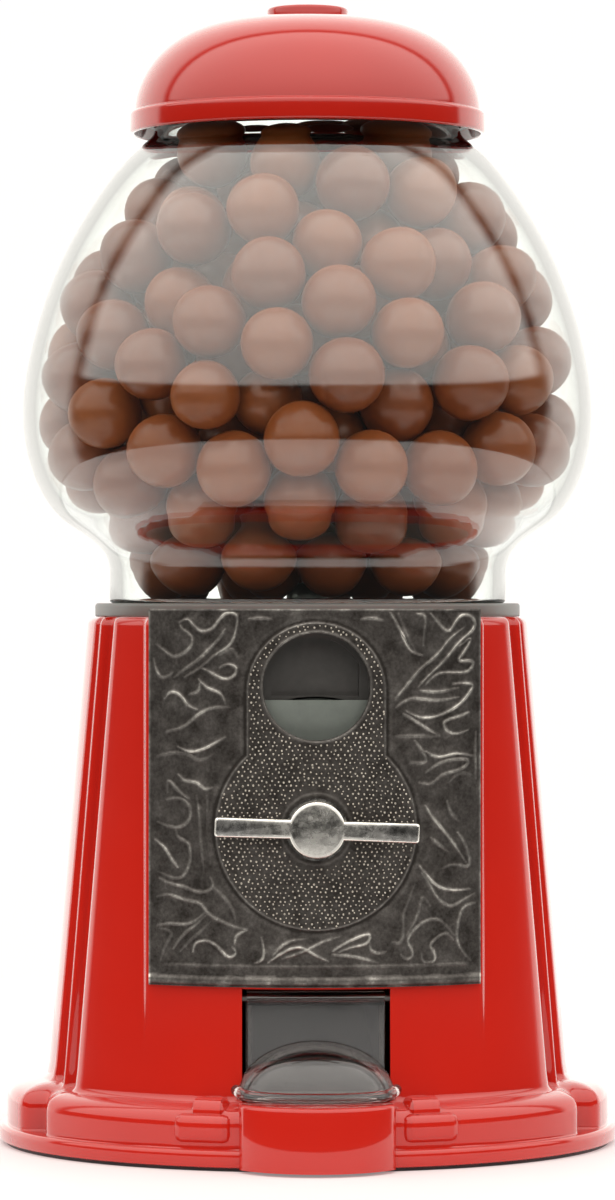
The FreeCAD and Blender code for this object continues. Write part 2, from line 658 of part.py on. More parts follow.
def chute_outside():
    return duct(CHUTE_HALF, CHUTE_FRONT, CHUTE_BACK, -CHUTE_T, CHUTE_H + CHUTE_T)


def ball_chute():
    legs = [cyl(3.4, COVER_TOP, chute_floor(y) - 0.3, x, y) for x, y in chute_leg_places()]
    inner = duct(CHUTE_HALF - CHUTE_T, CHUTE_FRONT - 1, CHUTE_BACK - CHUTE_T, 0, CHUTE_H)
    bore = cyl(TUBE_R - TUBE_T, 45, HOPPER_FLOOR, 0, POCKET_AT)
    pilots = [cyl(1.2, COVER_TOP - 1, COVER_TOP + 8, x, y) for x, y in chute_leg_places()]
    return joined([chute_outside()] + legs).cut([inner, bore] + pilots)


def chute_screws():
    return Part.makeCompound([screw_up(x, y) for x, y in chute_leg_places()])


def flap_hinge_pin():
    return cyl_x(PIN_R, -19.5, 19.5, PIN_Y, PIN_Z)


def ellipsoid(ax, ay, az):
    stretch = FreeCAD.Matrix()
    stretch.scale(V(ax, ay, az))
    ball = Part.makeSphere(1.0).transformGeometry(stretch)
    ball.translate(V(0, SCOOP_Y, SHELF_Z + 0.5))
    return ball


def chute_flap():
    """Clear flap: a flat upper panel and a flared scoop that the hand lifts."""
    low = SHELF_Z + 0.5
    panel = box(-FLAP_HALF, FLAP_HALF, SCOOP_Y, SCOOP_Y + SCOOP_T, low, PIN_Z)
    barrel = cyl_x(BARREL_R, -FLAP_HALF, FLAP_HALF, PIN_Y, PIN_Z)
    dome = ellipsoid(*SCOOP).common(box(-30, 30, SCOOP_Y - 30, SCOOP_Y, low, low + 30))
    bead = ellipsoid(*[a + LIP for a in SCOOP]).common(box(-30, 30, SCOOP_Y - 30, SCOOP_Y, low, low + 1.5))
    hollow = ellipsoid(*[a - SCOOP_T for a in SCOOP])
    side = MOUTH_HALF - 0.4
    walls = body_cone(FRONT_EXTRA + 0.3, low - 1, low + 30).cut(box(-side, side, -90, 90, 0, low + 40))
    whole = joined([panel, barrel, dome, bead])
    return whole.cut([hollow, walls, cyl_x(PIN_R + RUN, -30, 30, PIN_Y, PIN_Z)])


# ---- globe, balls and lid -----------------------------------------------------------------------
def globe_curve():
    return curve(GLOBE_BULB)


def inner_points():
    """The bulb's inner outline: the outer one moved in along its normal."""
    spline = globe_curve()
    points = []
    for r, z in GLOBE_BULB:
        way = spline.tangent(spline.parameter(V(r, 0, z)))[0]
        points.append((r - GLOBE_T * way.z, z + GLOBE_T * way.x))
    return points


def globe():
    inside = inner_points()
    lip = GLOBE_T / 2
    outer = globe_curve().toShape()
    inner = curve(inside).toShape()
    neck_in = inside[0][0]
    mouth_in = inside[-1][0]
    mouth_mid = (GLOBE_MOUTH_R + mouth_in) / 2
    mouth_lip = Part.Arc(V(GLOBE_MOUTH_R, 0, GLOBE_TOP - lip), V(mouth_mid, 0, GLOBE_TOP),
                         V(mouth_in, 0, GLOBE_TOP - lip)).toShape()
    edges = [line((GLOBE_NECK_R, GLOBE_LOW), GLOBE_BULB[0]), outer,
             line(GLOBE_BULB[-1], (GLOBE_MOUTH_R, GLOBE_TOP - lip)), mouth_lip,
             line((mouth_in, GLOBE_TOP - lip), inside[-1]), inner,
             line(inside[0], (neck_in, GLOBE_LOW)), line((neck_in, GLOBE_LOW), (GLOBE_NECK_R, GLOBE_LOW))]
    return spun_edges(Part.__sortEdges__(edges))


def globe_gasket():
    return spun([(HOPPER_R + 0.6, BODY_TOP + 1.2), (51.5, BODY_TOP + 1.2), (51.5, BODY_TOP),
                 (52.7, BODY_TOP), (52.7, GLOBE_LOW), (HOPPER_R + 0.6, GLOBE_LOW)])


def wall_radius(profile, z):
    """Inner radius of the globe at height z, between the outline's points."""
    if z <= profile[0][1]:
        return profile[0][0]
    for (r0, z0), (r1, z1) in zip(profile, profile[1:]):
        if z <= z1:
            return r0 + (r1 - r0) * (z - z0) / (z1 - z0)
    return profile[-1][0]


def inner_profile():
    """Closely spaced points of the inner outline, from the lower neck to the mouth."""
    spline = curve(inner_points())
    first, last = spline.FirstParameter, spline.LastParameter
    steps = 60
    points = [spline.value(first + (last - first) * i / steps) for i in range(steps + 1)]
    return [(p.x, p.z) for p in points]


def push_inside(ball, profile):
    """Move one ball to the inner side of the glass, above the wheel and clear of its cap nut."""
    x, y, z, r = ball
    z = max(z, WHEEL_TOP + 1.8 + r)
    reach = math.hypot(x, y)
    out, up = reach - min(reach, NUT_R), z - min(z, NUT_TOP)
    lack = r + 2 * BALL_GAP - math.hypot(out, up)
    if lack > 0:
        z += lack if up > 0 else 0.0
        if out > 0:
            x, y = x * (reach + lack) / reach, y * (reach + lack) / reach
            reach += lack
    if reach < 1e-6:
        return [x, y, z, r]
    # nearest point of the outline and its inward normal
    best = None
    for (r0, z0), (r1, z1) in zip(profile, profile[1:]):
        dr, dz = r1 - r0, z1 - z0
        length = math.hypot(dr, dz)
        t = max(0.0, min(1.0, ((reach - r0) * dr + (z - z0) * dz) / (length * length)))
        pr, pz = r0 + dr * t, z0 + dz * t
        inward = ((reach - pr) * -dz + (z - pz) * dr) / length
        gap = math.hypot(reach - pr, z - pz)
        if best is None or gap < best[0]:
            best = (gap, inward, -dz / length, dr / length)
    gap, inward, nr, nz = best
    depth = gap if inward > 0 else -gap
    lack = r + BALL_GAP - depth
    if lack > 0:
        reach_new = max(0.0, reach + nr * lack)
        x, y = x * reach_new / reach, y * reach_new / reach
        z += nz * lack
    neck = profile[0][0] - r - BALL_GAP
    reach = math.hypot(x, y)
    if z < profile[0][1] and reach > neck:
        x, y = x * neck / reach, y * neck / reach
    return [x, y, z, r]


def settled_balls():
    """Balls dropped loosely in the globe and pushed apart until they lie on each other."""
    rng = random.Random(11)
    profile = inner_profile()
    balls = []
    pitch = 2 * BALL_R * 1.03
    z = WHEEL_TOP + 2.0 + BALL_R
    layer = 0
    while z < GLOBE_TOP + 34:
        room = wall_radius(profile, min(z, GLOBE_TOP)) - BALL_R if z < 226 else 42 - 0.2 * (z - 226)
        shift = pitch / 2 if layer % 2 else 0.0
        count = int(room // pitch) + 2
        for i in range(-count, count + 1):
            for j in range(-count, count + 1):
                x = i * pitch + (pitch / 2 if j % 2 else 0.0) + shift + rng.uniform(-1.6, 1.6)
                y = j * pitch * 0.866 + shift * 0.577 + rng.uniform(-1.6, 1.6)
                if math.hypot(x, y) < room:
                    radius = BALL_R * (1 + rng.uniform(-BALL_SPREAD, BALL_SPREAD))
                    balls.append([x, y, z + rng.uniform(-1.5, 1.5), radius])
        z += pitch * 0.80
        layer += 1
    balls = balls[:BALL_LIMIT]
    for turn in range(RELAX_TURNS):
        sink = 0.3 if turn < RELAX_TURNS * 0.45 else 0.0
        for ball in balls:
            ball[2] -= sink
        push_apart(balls)
        balls = [push_inside(ball, profile) for ball in balls]
    return balls


def neighbours(balls):
    cells = {}
    for index, (x, y, z, _) in enumerate(balls):
        cells.setdefault((int(x // BALL_CELL), int(y // BALL_CELL), int(z // BALL_CELL)), []).append(index)
    pairs = []
    for (cx, cy, cz), members in cells.items():
        near = [k for dx in (-1, 0, 1) for dy in (-1, 0, 1) for dz in (-1, 0, 1)
                for k in cells.get((cx + dx, cy + dy, cz + dz), ())]
        pairs += [(i, k) for i in members for k in near if i < k]
    return pairs


def push_apart(balls):
    for i, k in neighbours(balls):
        a, b = balls[i], balls[k]
        dx, dy, dz = b[0] - a[0], b[1] - a[1], b[2] - a[2]
        want = a[3] + b[3] + BALL_GAP
        if abs(dx) > want or abs(dy) > want or abs(dz) > want:
            continue
        gap = math.sqrt(dx * dx + dy * dy + dz * dz) or 1e-6
        if gap < want:
            move = (want - gap) / 2 / gap
            a[0] -= dx * move
            a[1] -= dy * move
            a[2] -= dz * move
            b[0] += dx * move
            b[1] += dy * move
            b[2] += dz * move


def candy_balls():
    balls = [b for b in settled_balls() if b[2] + b[3] < GLOBE_TOP + 2.0]
    profile = inner_profile()
    # a last, small shrink keeps each ball clear of its neighbours
    radii = [b[3] for b in balls]
    for i, k in neighbours(balls):
        gap = math.dist(balls[i][:3], balls[k][:3])
        share = (gap - BALL_GAP / 2) / (radii[i] + radii[k])
        if share < 1:
            radii[i] *= share
            radii[k] *= share
    print("balls", len(balls), "smallest radius", round(min(radii), 2))
    return Part.makeCompound([Part.makeSphere(r, V(*b[:3])) for b, r in zip(balls, radii)])


def lid_outline(r_max, top, low, points=9):
    """Superellipse from the lid's shoulder to its crown."""
    outline = []
    for i in range(points):
        t = math.sin(math.pi / 2 * i / (points - 1)) if i else 0.0
        r = r_max * (1 - t ** 2.5) ** (1 / 2.6) if t < 1 else 0.0
        outline.append((r, low + (top - low) * t))
    return outline


def lid_dome():
    outside = lid_outline(LID_DOME_R, LID_DOME_TOP, LID_SHOULDER)
    inside = lid_outline(LID_DOME_R - LID_T, LID_DOME_TOP - LID_T, LID_SHOULDER)
    outer = curve(outside).toShape()
    inner = curve(inside).toShape()
    low_in = LID_R - LID_T
    edges = [line((LID_R, LID_LOW), (LID_R, LID_SHOULDER - 0.6)),
             line((LID_R, LID_SHOULDER - 0.6), (LID_DOME_R, LID_SHOULDER)), outer,
             line((0, LID_DOME_TOP), (0, LID_DOME_TOP - LID_T)), inner,
             line((LID_DOME_R - LID_T, LID_SHOULDER), (LID_DOME_R - LID_T, LID_SHOULDER - 1.6)),
             line((LID_DOME_R - LID_T, LID_SHOULDER - 1.6), (low_in, LID_SHOULDER - 2.2)),
             line((low_in, LID_SHOULDER - 2.2), (low_in, LID_LOW)), line((low_in, LID_LOW), (LID_R, LID_LOW))]
    return spun_edges(Part.__sortEdges__(edges)).cut(cyl(1.6, 270, 290))


def lid_knob():
    knob = cyl(KNOB_R, LID_DOME_TOP - 0.2, TOTAL_H)
    knob = knob.makeFillet(0.9, [e for e in knob.Edges if e.CenterOfMass.z > TOTAL_H - 0.1])
    knob = knob.cut(lid_filled())
    return knob.cut(cyl(1.2, 270, TOTAL_H - 1.0))


def lid_filled():
    """The lid's outer shape as one filled body, to fit the knob and liner to it."""
    outer = curve(lid_outline(LID_DOME_R, LID_DOME_TOP, LID_SHOULDER)).toShape()
    edges = [line((0, LID_SHOULDER), (LID_DOME_R, LID_SHOULDER)), outer,
             line((0, LID_DOME_TOP), (0, LID_SHOULDER))]
    return spun_edges(Part.__sortEdges__(edges))


def lid_knob_screw():
    seat = LID_DOME_TOP - LID_T
    return cyl(3.4, seat - 1.6, seat - 0.06).fuse(cyl(1.18, seat - 0.1, TOTAL_H - 1.1)).removeSplitter()


def lid_liner():
    """Ring inside the lid that rests on the globe's mouth and centres the lid on it."""
    seat, top = GLOBE_TOP + 0.1, GLOBE_TOP + 1.9
    return spun([(31.0, seat), (38.2, seat), (38.2, 251.6), (39.6, 251.6), (39.6, seat), (41.5, seat),
                 (41.3, top), (31.0, top)])


PARTS = (base_body, base_felt, bottom_cover, bottom_cover_screws, face_plate, face_plate_screws,
         front_bush, handle, handle_shaft, coin_wheel, coin_guide, coin_sill, bracket_screws,
         mechanism_bracket, rear_bush, ratchet_wheel, pawl, pawl_pivot_screw, pawl_spring, drive_pinion,
         crown_gear, drive_shaft, shaft_clip, drive_shaft_clip, centre_bush, hopper, hopper_screws,
         drop_hole_cover, dispensing_wheel, wheel_cap_nut, drop_tube, ball_chute, chute_screws,
         flap_hinge_pin, chute_flap, globe, globe_gasket, candy_balls, lid_dome, lid_knob,
         lid_knob_screw, lid_liner)


def main():
    os.makedirs("parts", exist_ok=True)
    for make in PARTS:
        shape = make()
        print(make.__name__, "solids", len(shape.Solids), "valid", shape.isValid(),
              "volume", round(shape.Volume, 1))
        shape.exportStep("parts/" + make.__name__ + ".step")


main()
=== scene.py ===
"""Gumball machine: the looks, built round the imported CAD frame. Metres, +Z up, the front faces -Y.

Shapes are written in millimetres and scaled as their points go into a mesh.
"""
import json
import math
import random

import bmesh
import bpy
import numpy as np
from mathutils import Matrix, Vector


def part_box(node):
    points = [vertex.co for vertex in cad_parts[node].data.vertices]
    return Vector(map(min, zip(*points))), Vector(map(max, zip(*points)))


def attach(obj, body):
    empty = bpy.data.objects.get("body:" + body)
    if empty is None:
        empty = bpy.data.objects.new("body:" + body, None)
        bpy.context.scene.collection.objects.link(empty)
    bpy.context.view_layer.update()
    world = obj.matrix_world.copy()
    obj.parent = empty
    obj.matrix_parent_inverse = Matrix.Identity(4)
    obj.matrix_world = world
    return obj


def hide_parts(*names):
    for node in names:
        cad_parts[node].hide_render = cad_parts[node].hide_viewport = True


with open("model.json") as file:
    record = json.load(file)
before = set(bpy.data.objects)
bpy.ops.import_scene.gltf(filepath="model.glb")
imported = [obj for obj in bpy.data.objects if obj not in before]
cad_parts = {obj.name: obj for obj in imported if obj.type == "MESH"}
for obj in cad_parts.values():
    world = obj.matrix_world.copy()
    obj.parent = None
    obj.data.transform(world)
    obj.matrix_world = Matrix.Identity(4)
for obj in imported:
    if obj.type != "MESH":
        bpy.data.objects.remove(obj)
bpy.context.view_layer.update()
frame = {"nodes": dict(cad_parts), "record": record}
NODES = frame["nodes"]
MM = 0.001


def cad_box(node):
    """Lowest and highest corners of a CAD node, in millimetres."""
    low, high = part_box(node)
    return low / MM, high / MM


PLATE_LOW, PLATE_HIGH = cad_box("face_plate")
BASE_LOW, BASE_HIGH = cad_box("base_body")
LID_LOW, LID_HIGH = cad_box("lid_dome")
HUB_LOW, HUB_HIGH = cad_box("handle")
AXIS_Z = (HUB_LOW.z + HUB_HIGH.z) / 2
PLATE_R = -PLATE_LOW.y - 0.7      # outer radius of the plate's field, under its highest relief


# ---- meshes
def new_object(name, data):
    obj = bpy.data.objects.new(name, data)
    bpy.context.scene.collection.objects.link(obj)
    return obj


def mesh_piece(name, verts, faces, sharp=None):
    """Object from points in millimetres."""
    mesh = bpy.data.meshes.new(name)
    mesh.from_pydata((np.asarray(verts, float) * MM).tolist(), [], faces)
    mesh.update()
    obj = new_object(name, mesh)
    tidy_mesh(obj, sharp)
    return obj


def tidy_mesh(obj, sharp=None):
    """Weld doubles, face outwards and split the shading where faces meet at a sharp angle."""
    bm = bmesh.new()
    bm.from_mesh(obj.data)
    bmesh.ops.remove_doubles(bm, verts=bm.verts, dist=1e-6)
    bmesh.ops.recalc_face_normals(bm, faces=bm.faces)
    bm.to_mesh(obj.data)
    bm.free()
    obj.data.shade_smooth()
    if sharp is not None:
        obj.data.set_sharp_from_angle(angle=math.radians(sharp))


def grid_faces(rows, cols, wrap_rows=False, wrap_cols=False):
    """Quads over rows of points, closed round the rows or the columns where asked."""
    faces = []
    for i in range(rows if wrap_rows else rows - 1):
        for j in range(cols if wrap_cols else cols - 1):
            a, b = i * cols + j, i * cols + (j + 1) % cols
            c, d = ((i + 1) % rows) * cols + (j + 1) % cols, ((i + 1) % rows) * cols + j
            faces.append((a, b, c, d))
    return faces


def tube_faces(rows, cols):
    """Quads round a row of rings, and a face over each end."""
    ends = [tuple(reversed(range(cols))), tuple(range((rows - 1) * cols, rows * cols))]
    return grid_faces(rows, cols, False, True) + ends


def rounded(corners, steps=6):
    """Outline through (x, y, radius) corners with each corner rounded; radius 0 stays sharp."""
    out = []
    count = len(corners)
    for i, (x, y, r) in enumerate(corners):
        here = np.array((x, y), float)
        if r <= 0 or i in (0, count - 1):
            out.append(here)
            continue
        before = np.array(corners[i - 1][:2], float) - here
        after = np.array(corners[i + 1][:2], float) - here
        before /= np.linalg.norm(before)
        after /= np.linalg.norm(after)
        half = math.acos(max(-1.0, min(1.0, float(before @ after)))) / 2
        reach = r / math.tan(half)
        start, end = here + before * reach, here + after * reach
        way = before + after
        centre = here + way / np.linalg.norm(way) * r / math.sin(half)
        for k in range(steps + 1):
            t = k / steps
            p = start * (1 - t) ** 2 + here * 2 * t * (1 - t) + end * t * t
            arm = p - centre
            out.append(centre + arm / np.linalg.norm(arm) * r)
    return np.array(out)


def smooth_line(points, per_span=6):
    """Natural cubic spline through the points, by their running length."""
    p = np.asarray(points, float)
    s = np.concatenate([[0], np.cumsum(np.linalg.norm(np.diff(p, axis=0), axis=1))])
    n = len(p)
    a = np.zeros((n, n))
    rhs = np.zeros((n, p.shape[1]))
    a[0, 0] = a[-1, -1] = 1
    for i in range(1, n - 1):
        h0, h1 = s[i] - s[i - 1], s[i + 1] - s[i]
        a[i, i - 1], a[i, i], a[i, i + 1] = h0, 2 * (h0 + h1), h1
        rhs[i] = 6 * ((p[i + 1] - p[i]) / h1 - (p[i] - p[i - 1]) / h0)
    m = np.linalg.solve(a, rhs)
    out = []
    for i in range(n - 1):
        h = s[i + 1] - s[i]
        for k in range(per_span + (i == n - 2)):
            t = k / per_span * h
            u = h - t
            out.append((m[i] * u ** 3 + m[i + 1] * t ** 3) / (6 * h)
                       + (p[i] / h - m[i] * h / 6) * u + (p[i + 1] / h - m[i + 1] * h / 6) * t)
    return np.array(out)


def lathe(name, outline, segments, closed=False):
    """Spin (radius, height) points round Z. A closed outline makes a ring."""
    outline = np.asarray(outline, float)
    angle = np.linspace(0, 2 * math.pi, segments, endpoint=False)
    r, z = outline[:, 0][:, None], outline[:, 1][:, None]
    verts = np.stack([r * np.cos(angle), r * np.sin(angle), z + 0 * angle], axis=-1).reshape(-1, 3)
    return mesh_piece(name, verts, grid_faces(len(outline), segments, closed, True), sharp=40)


SHARP_EDGE = 0.6      # angle in radians over which prism() rounds an edge


def prism(name, outline, z0, z1, bevel=0.0, only_top=False, segments=3):
    """Upright solid on an (x, y) outline, with its edges rounded."""
    bm = bmesh.new()
    low = [bm.verts.new(Vector((x, y, z0)) * MM) for x, y in outline]
    base = bm.faces.new(low)
    top = bmesh.ops.extrude_face_region(bm, geom=[base])["geom"]
    for v in [g for g in top if isinstance(g, bmesh.types.BMVert)]:
        v.co.z = z1 * MM
    bmesh.ops.recalc_face_normals(bm, faces=bm.faces)
    if bevel:
        edges = [e for e in bm.edges if e.calc_face_angle(0) > SHARP_EDGE
                 and not (only_top and all(v.co.z < (z0 + 0.01) * MM for v in e.verts))]
        bmesh.ops.bevel(bm, geom=edges, offset=bevel * MM, segments=segments, profile=0.5,
                        affect="EDGES")
    mesh = bpy.data.meshes.new(name)
    bm.to_mesh(mesh)
    bm.free()
    return new_object(name, mesh)


def block(name, low, high, bevel=0.0):
    (x0, y0, z0), (x1, y1, z1) = low, high
    return prism(name, [(x0, y0), (x1, y0), (x1, y1), (x0, y1)], z0, z1, bevel)


def rod(name, r, ends, centre, along_x=False, segments=96):
    """Solid cylinder along Y, or along X, round a centre in the other two coordinates."""
    turn = np.linspace(0, 2 * math.pi, segments, endpoint=False)
    ring = [(centre[0] + r * math.cos(a), centre[1] + r * math.sin(a)) for a in turn]
    verts = [(end, p, q) if along_x else (p, end, q) for end in ends for p, q in ring]
    return mesh_piece(name, verts, tube_faces(2, segments))


def combine(target, tools, operation):
    """Boolean the tools into or out of the target, then drop them."""
    for tool in tools:
        step = target.modifiers.new("step", "BOOLEAN")
        step.operation = operation
        step.solver = "MANIFOLD"
        step.object = tool
        bpy.context.view_layer.update()
        graph = bpy.context.evaluated_depsgraph_get()
        mesh = bpy.data.meshes.new_from_object(target.evaluated_get(graph))
        target.modifiers.clear()
        target.data = mesh
        bpy.data.objects.remove(tool)


# ---- materials
class Nodes:
    """A node tree, with short calls for the nodes that go into it."""

    def __init__(self, tree):
        self.tree = tree

    def link(self, source, target):
        """Feed a socket from another socket, or give it a number or a colour."""
        if isinstance(source, (int, float)):
            target.default_value = source
        elif isinstance(source, tuple):
            target.default_value = (*source, 1)
        else:
            self.tree.links.new(source, target)

    def node(self, kind, inputs=None, **settings):
        made = self.tree.nodes.new(kind)
        for key, value in settings.items():
            setattr(made, key, value)
        for key, value in (inputs or {}).items():
            self.link(value, made.inputs[key])
        return made

    def math(self, operation, a, b):
        return self.node("ShaderNodeMath", {0: a, 1: b}, operation=operation).outputs["Value"]

    def range(self, factor, low, high, from_low=0.0, from_high=1.0, **settings):
        return self.node("ShaderNodeMapRange", {"Value": factor, "From Min": from_low, "From Max": from_high,
                                                "To Min": low, "To Max": high}, **settings).outputs["Result"]


class Shader(Nodes):
    """A Principled material."""

    def __init__(self, name, colour, roughness, **sockets):
        self.material = bpy.data.materials.new(name)
        self.material.use_nodes = True
        Nodes.__init__(self, self.material.node_tree)
        self.surface = self.tree.nodes["Principled BSDF"]
        self.feed(Base_Color=colour, Roughness=roughness, **sockets)
        self.place = self.node("ShaderNodeTexCoord").outputs["Object"]

    def feed(self, **sources):
        """Feed the surface's inputs. A name has _ where the input's has a space."""
        for key, source in sources.items():
            self.link(source, self.surface.inputs[key.replace("_", " ")])

    def noise(self, scale, detail=3.0, roughness=0.5):
        return self.node("ShaderNodeTexNoise", {"Scale": scale, "Detail": detail, "Roughness": roughness,
                                                "Vector": self.place}).outputs["Fac"]

    def attribute(self, name):
        return self.node("ShaderNodeAttribute", attribute_name=name).outputs["Fac"]

    def sway(self, source, reach):
        """The source centred on zero, then scaled."""
        return self.math("MULTIPLY", self.math("SUBTRACT", source, 0.5), reach)

    def ramp(self, factor, stops):
        n = self.node("ShaderNodeValToRGB", {"Fac": factor})
        elements = n.color_ramp.elements
        while len(elements) < len(stops):
            elements.new(0.5)
        for element, (at, colour) in zip(elements, stops):
            element.position = at
            element.color = (*colour, 1)
        return n.outputs["Color"]

    def mix_colour(self, factor, a, b):
        return self.node("ShaderNodeMix", {0: factor, 6: a, 7: b}, data_type="RGBA").outputs[2]

    def bump(self, noise, strength, distance):
        """Add a layer of bumps to the ones already there."""
        n = self.node("ShaderNodeBump", {"Strength": strength, "Distance": distance,
                                         "Height": self.noise(*noise)})
        before = self.surface.inputs["Normal"].links
        if before:
            self.link(before[0].from_socket, n.inputs["Normal"])
        self.link(n.outputs["Normal"], self.surface.inputs["Normal"])


def clouded(name, colour, roughness, cloud, shades, gloss=None, bumps=(), **sockets):
    """Material clouded between two shades. Each noise is (scale, detail) or has its roughness too."""
    s = Shader(name, colour, roughness, **sockets)
    s.feed(Base_Color=s.mix_colour(s.noise(*cloud), *shades))
    if gloss:
        noise, low, high = gloss
        s.feed(Roughness=s.range(s.noise(*noise), low, high))
    for layer in bumps:
        s.bump(*layer)
    return s.material


def antique_metal():
    """Dark in the hollows, rubbed bright on the ridges, with a painted highlight on the plate's edges and
    bottom bar; relief is 0 to 1 on the mesh.
    """
    s = Shader("antique_metal", (0.2, 0.19, 0.17), 0.4, Metallic=1.0)
    worn = s.math("ADD", s.attribute("relief"), s.sway(s.noise(170, 8, 0.7), 0.75))
    worn = s.math("ADD", worn, s.sway(s.noise(1100, 3, 0.6), 0.5))
    s.feed(Base_Color=s.ramp(worn, [(0.06, (0.034, 0.030, 0.027)), (0.34, (0.088, 0.080, 0.074)),
                                    (0.54, (0.150, 0.140, 0.129)), (0.72, (0.34, 0.325, 0.295)),
                                    (1.0, (0.66, 0.63, 0.57))]),
           Roughness=s.range(worn, 0.56, 0.24, 0.1, 0.95))
    s.bump((900, 4), 0.22, 0.00012)
    s.bump((260, 6, 0.65), 0.45, 0.0003)
    return s.material


def pebble_metal():
    s = Shader("pebble_metal", (0.5, 0.48, 0.44), 0.32, Metallic=1.0)
    worn = s.math("ADD", s.attribute("relief"), s.sway(s.noise(220, 4), 0.6))
    s.feed(Base_Color=s.ramp(worn, [(0.15, (0.065, 0.056, 0.048)), (0.60, (0.155, 0.140, 0.122)),
                                    (1.0, (0.52, 0.48, 0.41))]),
           Roughness=s.range(worn, 0.5, 0.22))
    return s.material


def polished_metal_with_highlight():
    """Speckled grey; cream-bright on the polished sides and bevels, which also paints a highlight there.
    That value is 0 to 1 on the mesh.
    """
    s = Shader("polished_metal_with_highlight", (0.62, 0.61, 0.59), 0.2, Metallic=1.0)
    grey = s.ramp(s.noise(750, 6, 0.75), [(0.30, (0.13, 0.125, 0.12)), (0.55, (0.25, 0.245, 0.235)),
                                          (0.78, (0.55, 0.54, 0.51))])
    # painted highlight, with polish: cream where the value is high
    bright = s.range(s.attribute("polish_and_highlight"), 0.0, 1.0, 0.1, 0.6)
    s.feed(Base_Color=s.mix_colour(bright, grey, (0.96, 0.93, 0.86)),
           Roughness=s.range(s.noise(300, 5, 0.7), 0.10, 0.36, 0.3, 0.7))
    s.bump((420, 5), 0.18, 0.00012)
    return s.material


def shade(colour, factor):
    return tuple(min(1.0, c * factor) for c in colour)


def plain_metal(name, colour, roughness, scale=500):
    return clouded(name, colour, roughness, (scale, 6, 0.7), (shade(colour, 0.72), shade(colour, 1.15)),
                   ((scale * 0.4, 5), roughness - 0.08, roughness + 0.12),
                   (((scale * 2, 3), 0.15, 0.0001),), Metallic=1.0)


def plain_plastic(name, colour, roughness):
    return clouded(name, colour, roughness, (140, 4), (shade(colour, 0.85), shade(colour, 1.1)),
                   ((200, 4), roughness - 0.07, roughness + 0.07), (((1500, 2), 0.12, 0.00005),))


def clear(name, colour, roughness, ior, ripple, tint):
    """Clear material. Lamps reach what is behind it, tinted a little by it."""
    s = Shader(name, colour, roughness, IOR=ior, Transmission_Weight=1.0)
    s.bump(*ripple)
    output = next(n for n in s.tree.nodes if n.type == "OUTPUT_MATERIAL")
    mixer = s.node("ShaderNodeMixShader", {
        "Fac": s.node("ShaderNodeLightPath").outputs["Is Shadow Ray"],
        1: s.surface.outputs["BSDF"],
        2: s.node("ShaderNodeBsdfTransparent", {"Color": tint}).outputs["BSDF"]})
    s.link(mixer.outputs["Shader"], output.inputs["Surface"])
    return s.material


def chocolate():
    """Satin brown coating; tone is one number per ball."""
    s = Shader("chocolate", (0.30, 0.072, 0.020), 0.36, Specular_IOR_Level=0.7)
    tone = s.math("MULTIPLY", s.attribute("tone"), 0.65)
    mixed = s.math("ADD", tone, s.math("MULTIPLY", s.noise(130, 5, 0.6), 0.5))
    s.feed(Base_Color=s.ramp(mixed, [(0.15, (0.245, 0.054, 0.011)), (0.55, (0.350, 0.085, 0.019)),
                                     (0.95, (0.460, 0.128, 0.032))]),
           Roughness=s.range(s.noise(260, 4), 0.24, 0.40))
    s.bump((500, 3, 0.5), 0.10, 0.00012)
    s.bump((85, 2), 0.35, 0.0011)
    return s.material


MATERIALS = {
    "red_paint": clouded(
        "red_enamel", (0.58, 0.013, 0.005), 0.22, (28, 3), ((0.62, 0.016, 0.006), (0.53, 0.011, 0.004)),
        ((60, 4), 0.17, 0.30), (((420, 2), 0.12, 0.00012), ((55, 1), 0.10, 0.0006)),
        Specular_IOR_Level=0.12, Coat_Weight=1.0, Coat_Roughness=0.035, Coat_IOR=1.55),
    "antique_plate": antique_metal(),
    "polished_zinc": polished_metal_with_highlight(),
    "zinc": plain_metal("smooth_zinc", (0.35, 0.38, 0.345), 0.36, 180),
    "dark_steel": plain_metal("dark_steel", (0.11, 0.105, 0.10), 0.42, 260),
    "steel_screws": plain_metal("plated_steel", (0.5, 0.5, 0.49), 0.3),
    "bronze": plain_metal("bronze", (0.50, 0.34, 0.17), 0.36),
    "black_plastic": plain_plastic("black_plastic", (0.036, 0.029, 0.026), 0.42),
    "dark_plastic": plain_plastic("dark_plastic", (0.05, 0.045, 0.042), 0.4),
    "white_plastic": plain_plastic("white_plastic", (0.72, 0.71, 0.67), 0.4),
    "clear_plastic": clear("clear_plastic", (0.60, 0.56, 0.545), 0.06, 1.62, ((90, 2), 0.06, 0.0003),
                           (0.88, 0.88, 0.90)),
    "clear_glass": clear("clear_glass", (0.955, 0.985, 0.97), 0.0, 1.6, ((22, 1), 0.10, 0.0012),
                         (0.90, 0.93, 0.92)),
    "grey_rubber": clouded(
        "grey_ring", (0.19, 0.185, 0.175), 0.42, (60, 3), ((0.15, 0.145, 0.135), (0.23, 0.225, 0.21)),
        bumps=(((300, 3), 0.1, 0.0001),), Subsurface_Weight=0.25, Subsurface_Scale=0.002),
    "felt": clouded(
        "felt_pad", (0.03, 0.03, 0.032), 0.95, (1800, 3), ((0.018, 0.018, 0.02), (0.05, 0.05, 0.052)),
        bumps=(((2500, 2), 0.5, 0.0002),), Sheen_Weight=0.4),
    "chocolate": chocolate(),
}


def dress(obj, slot, body=None, replaces=(), material=None):
    """Give a piece its material, its body and the CAD nodes that it stands for."""
    obj.data.materials.clear()
    obj.data.materials.append(material or MATERIALS[slot])
    if body:
        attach(obj, body)
    if replaces:
        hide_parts(*replaces)


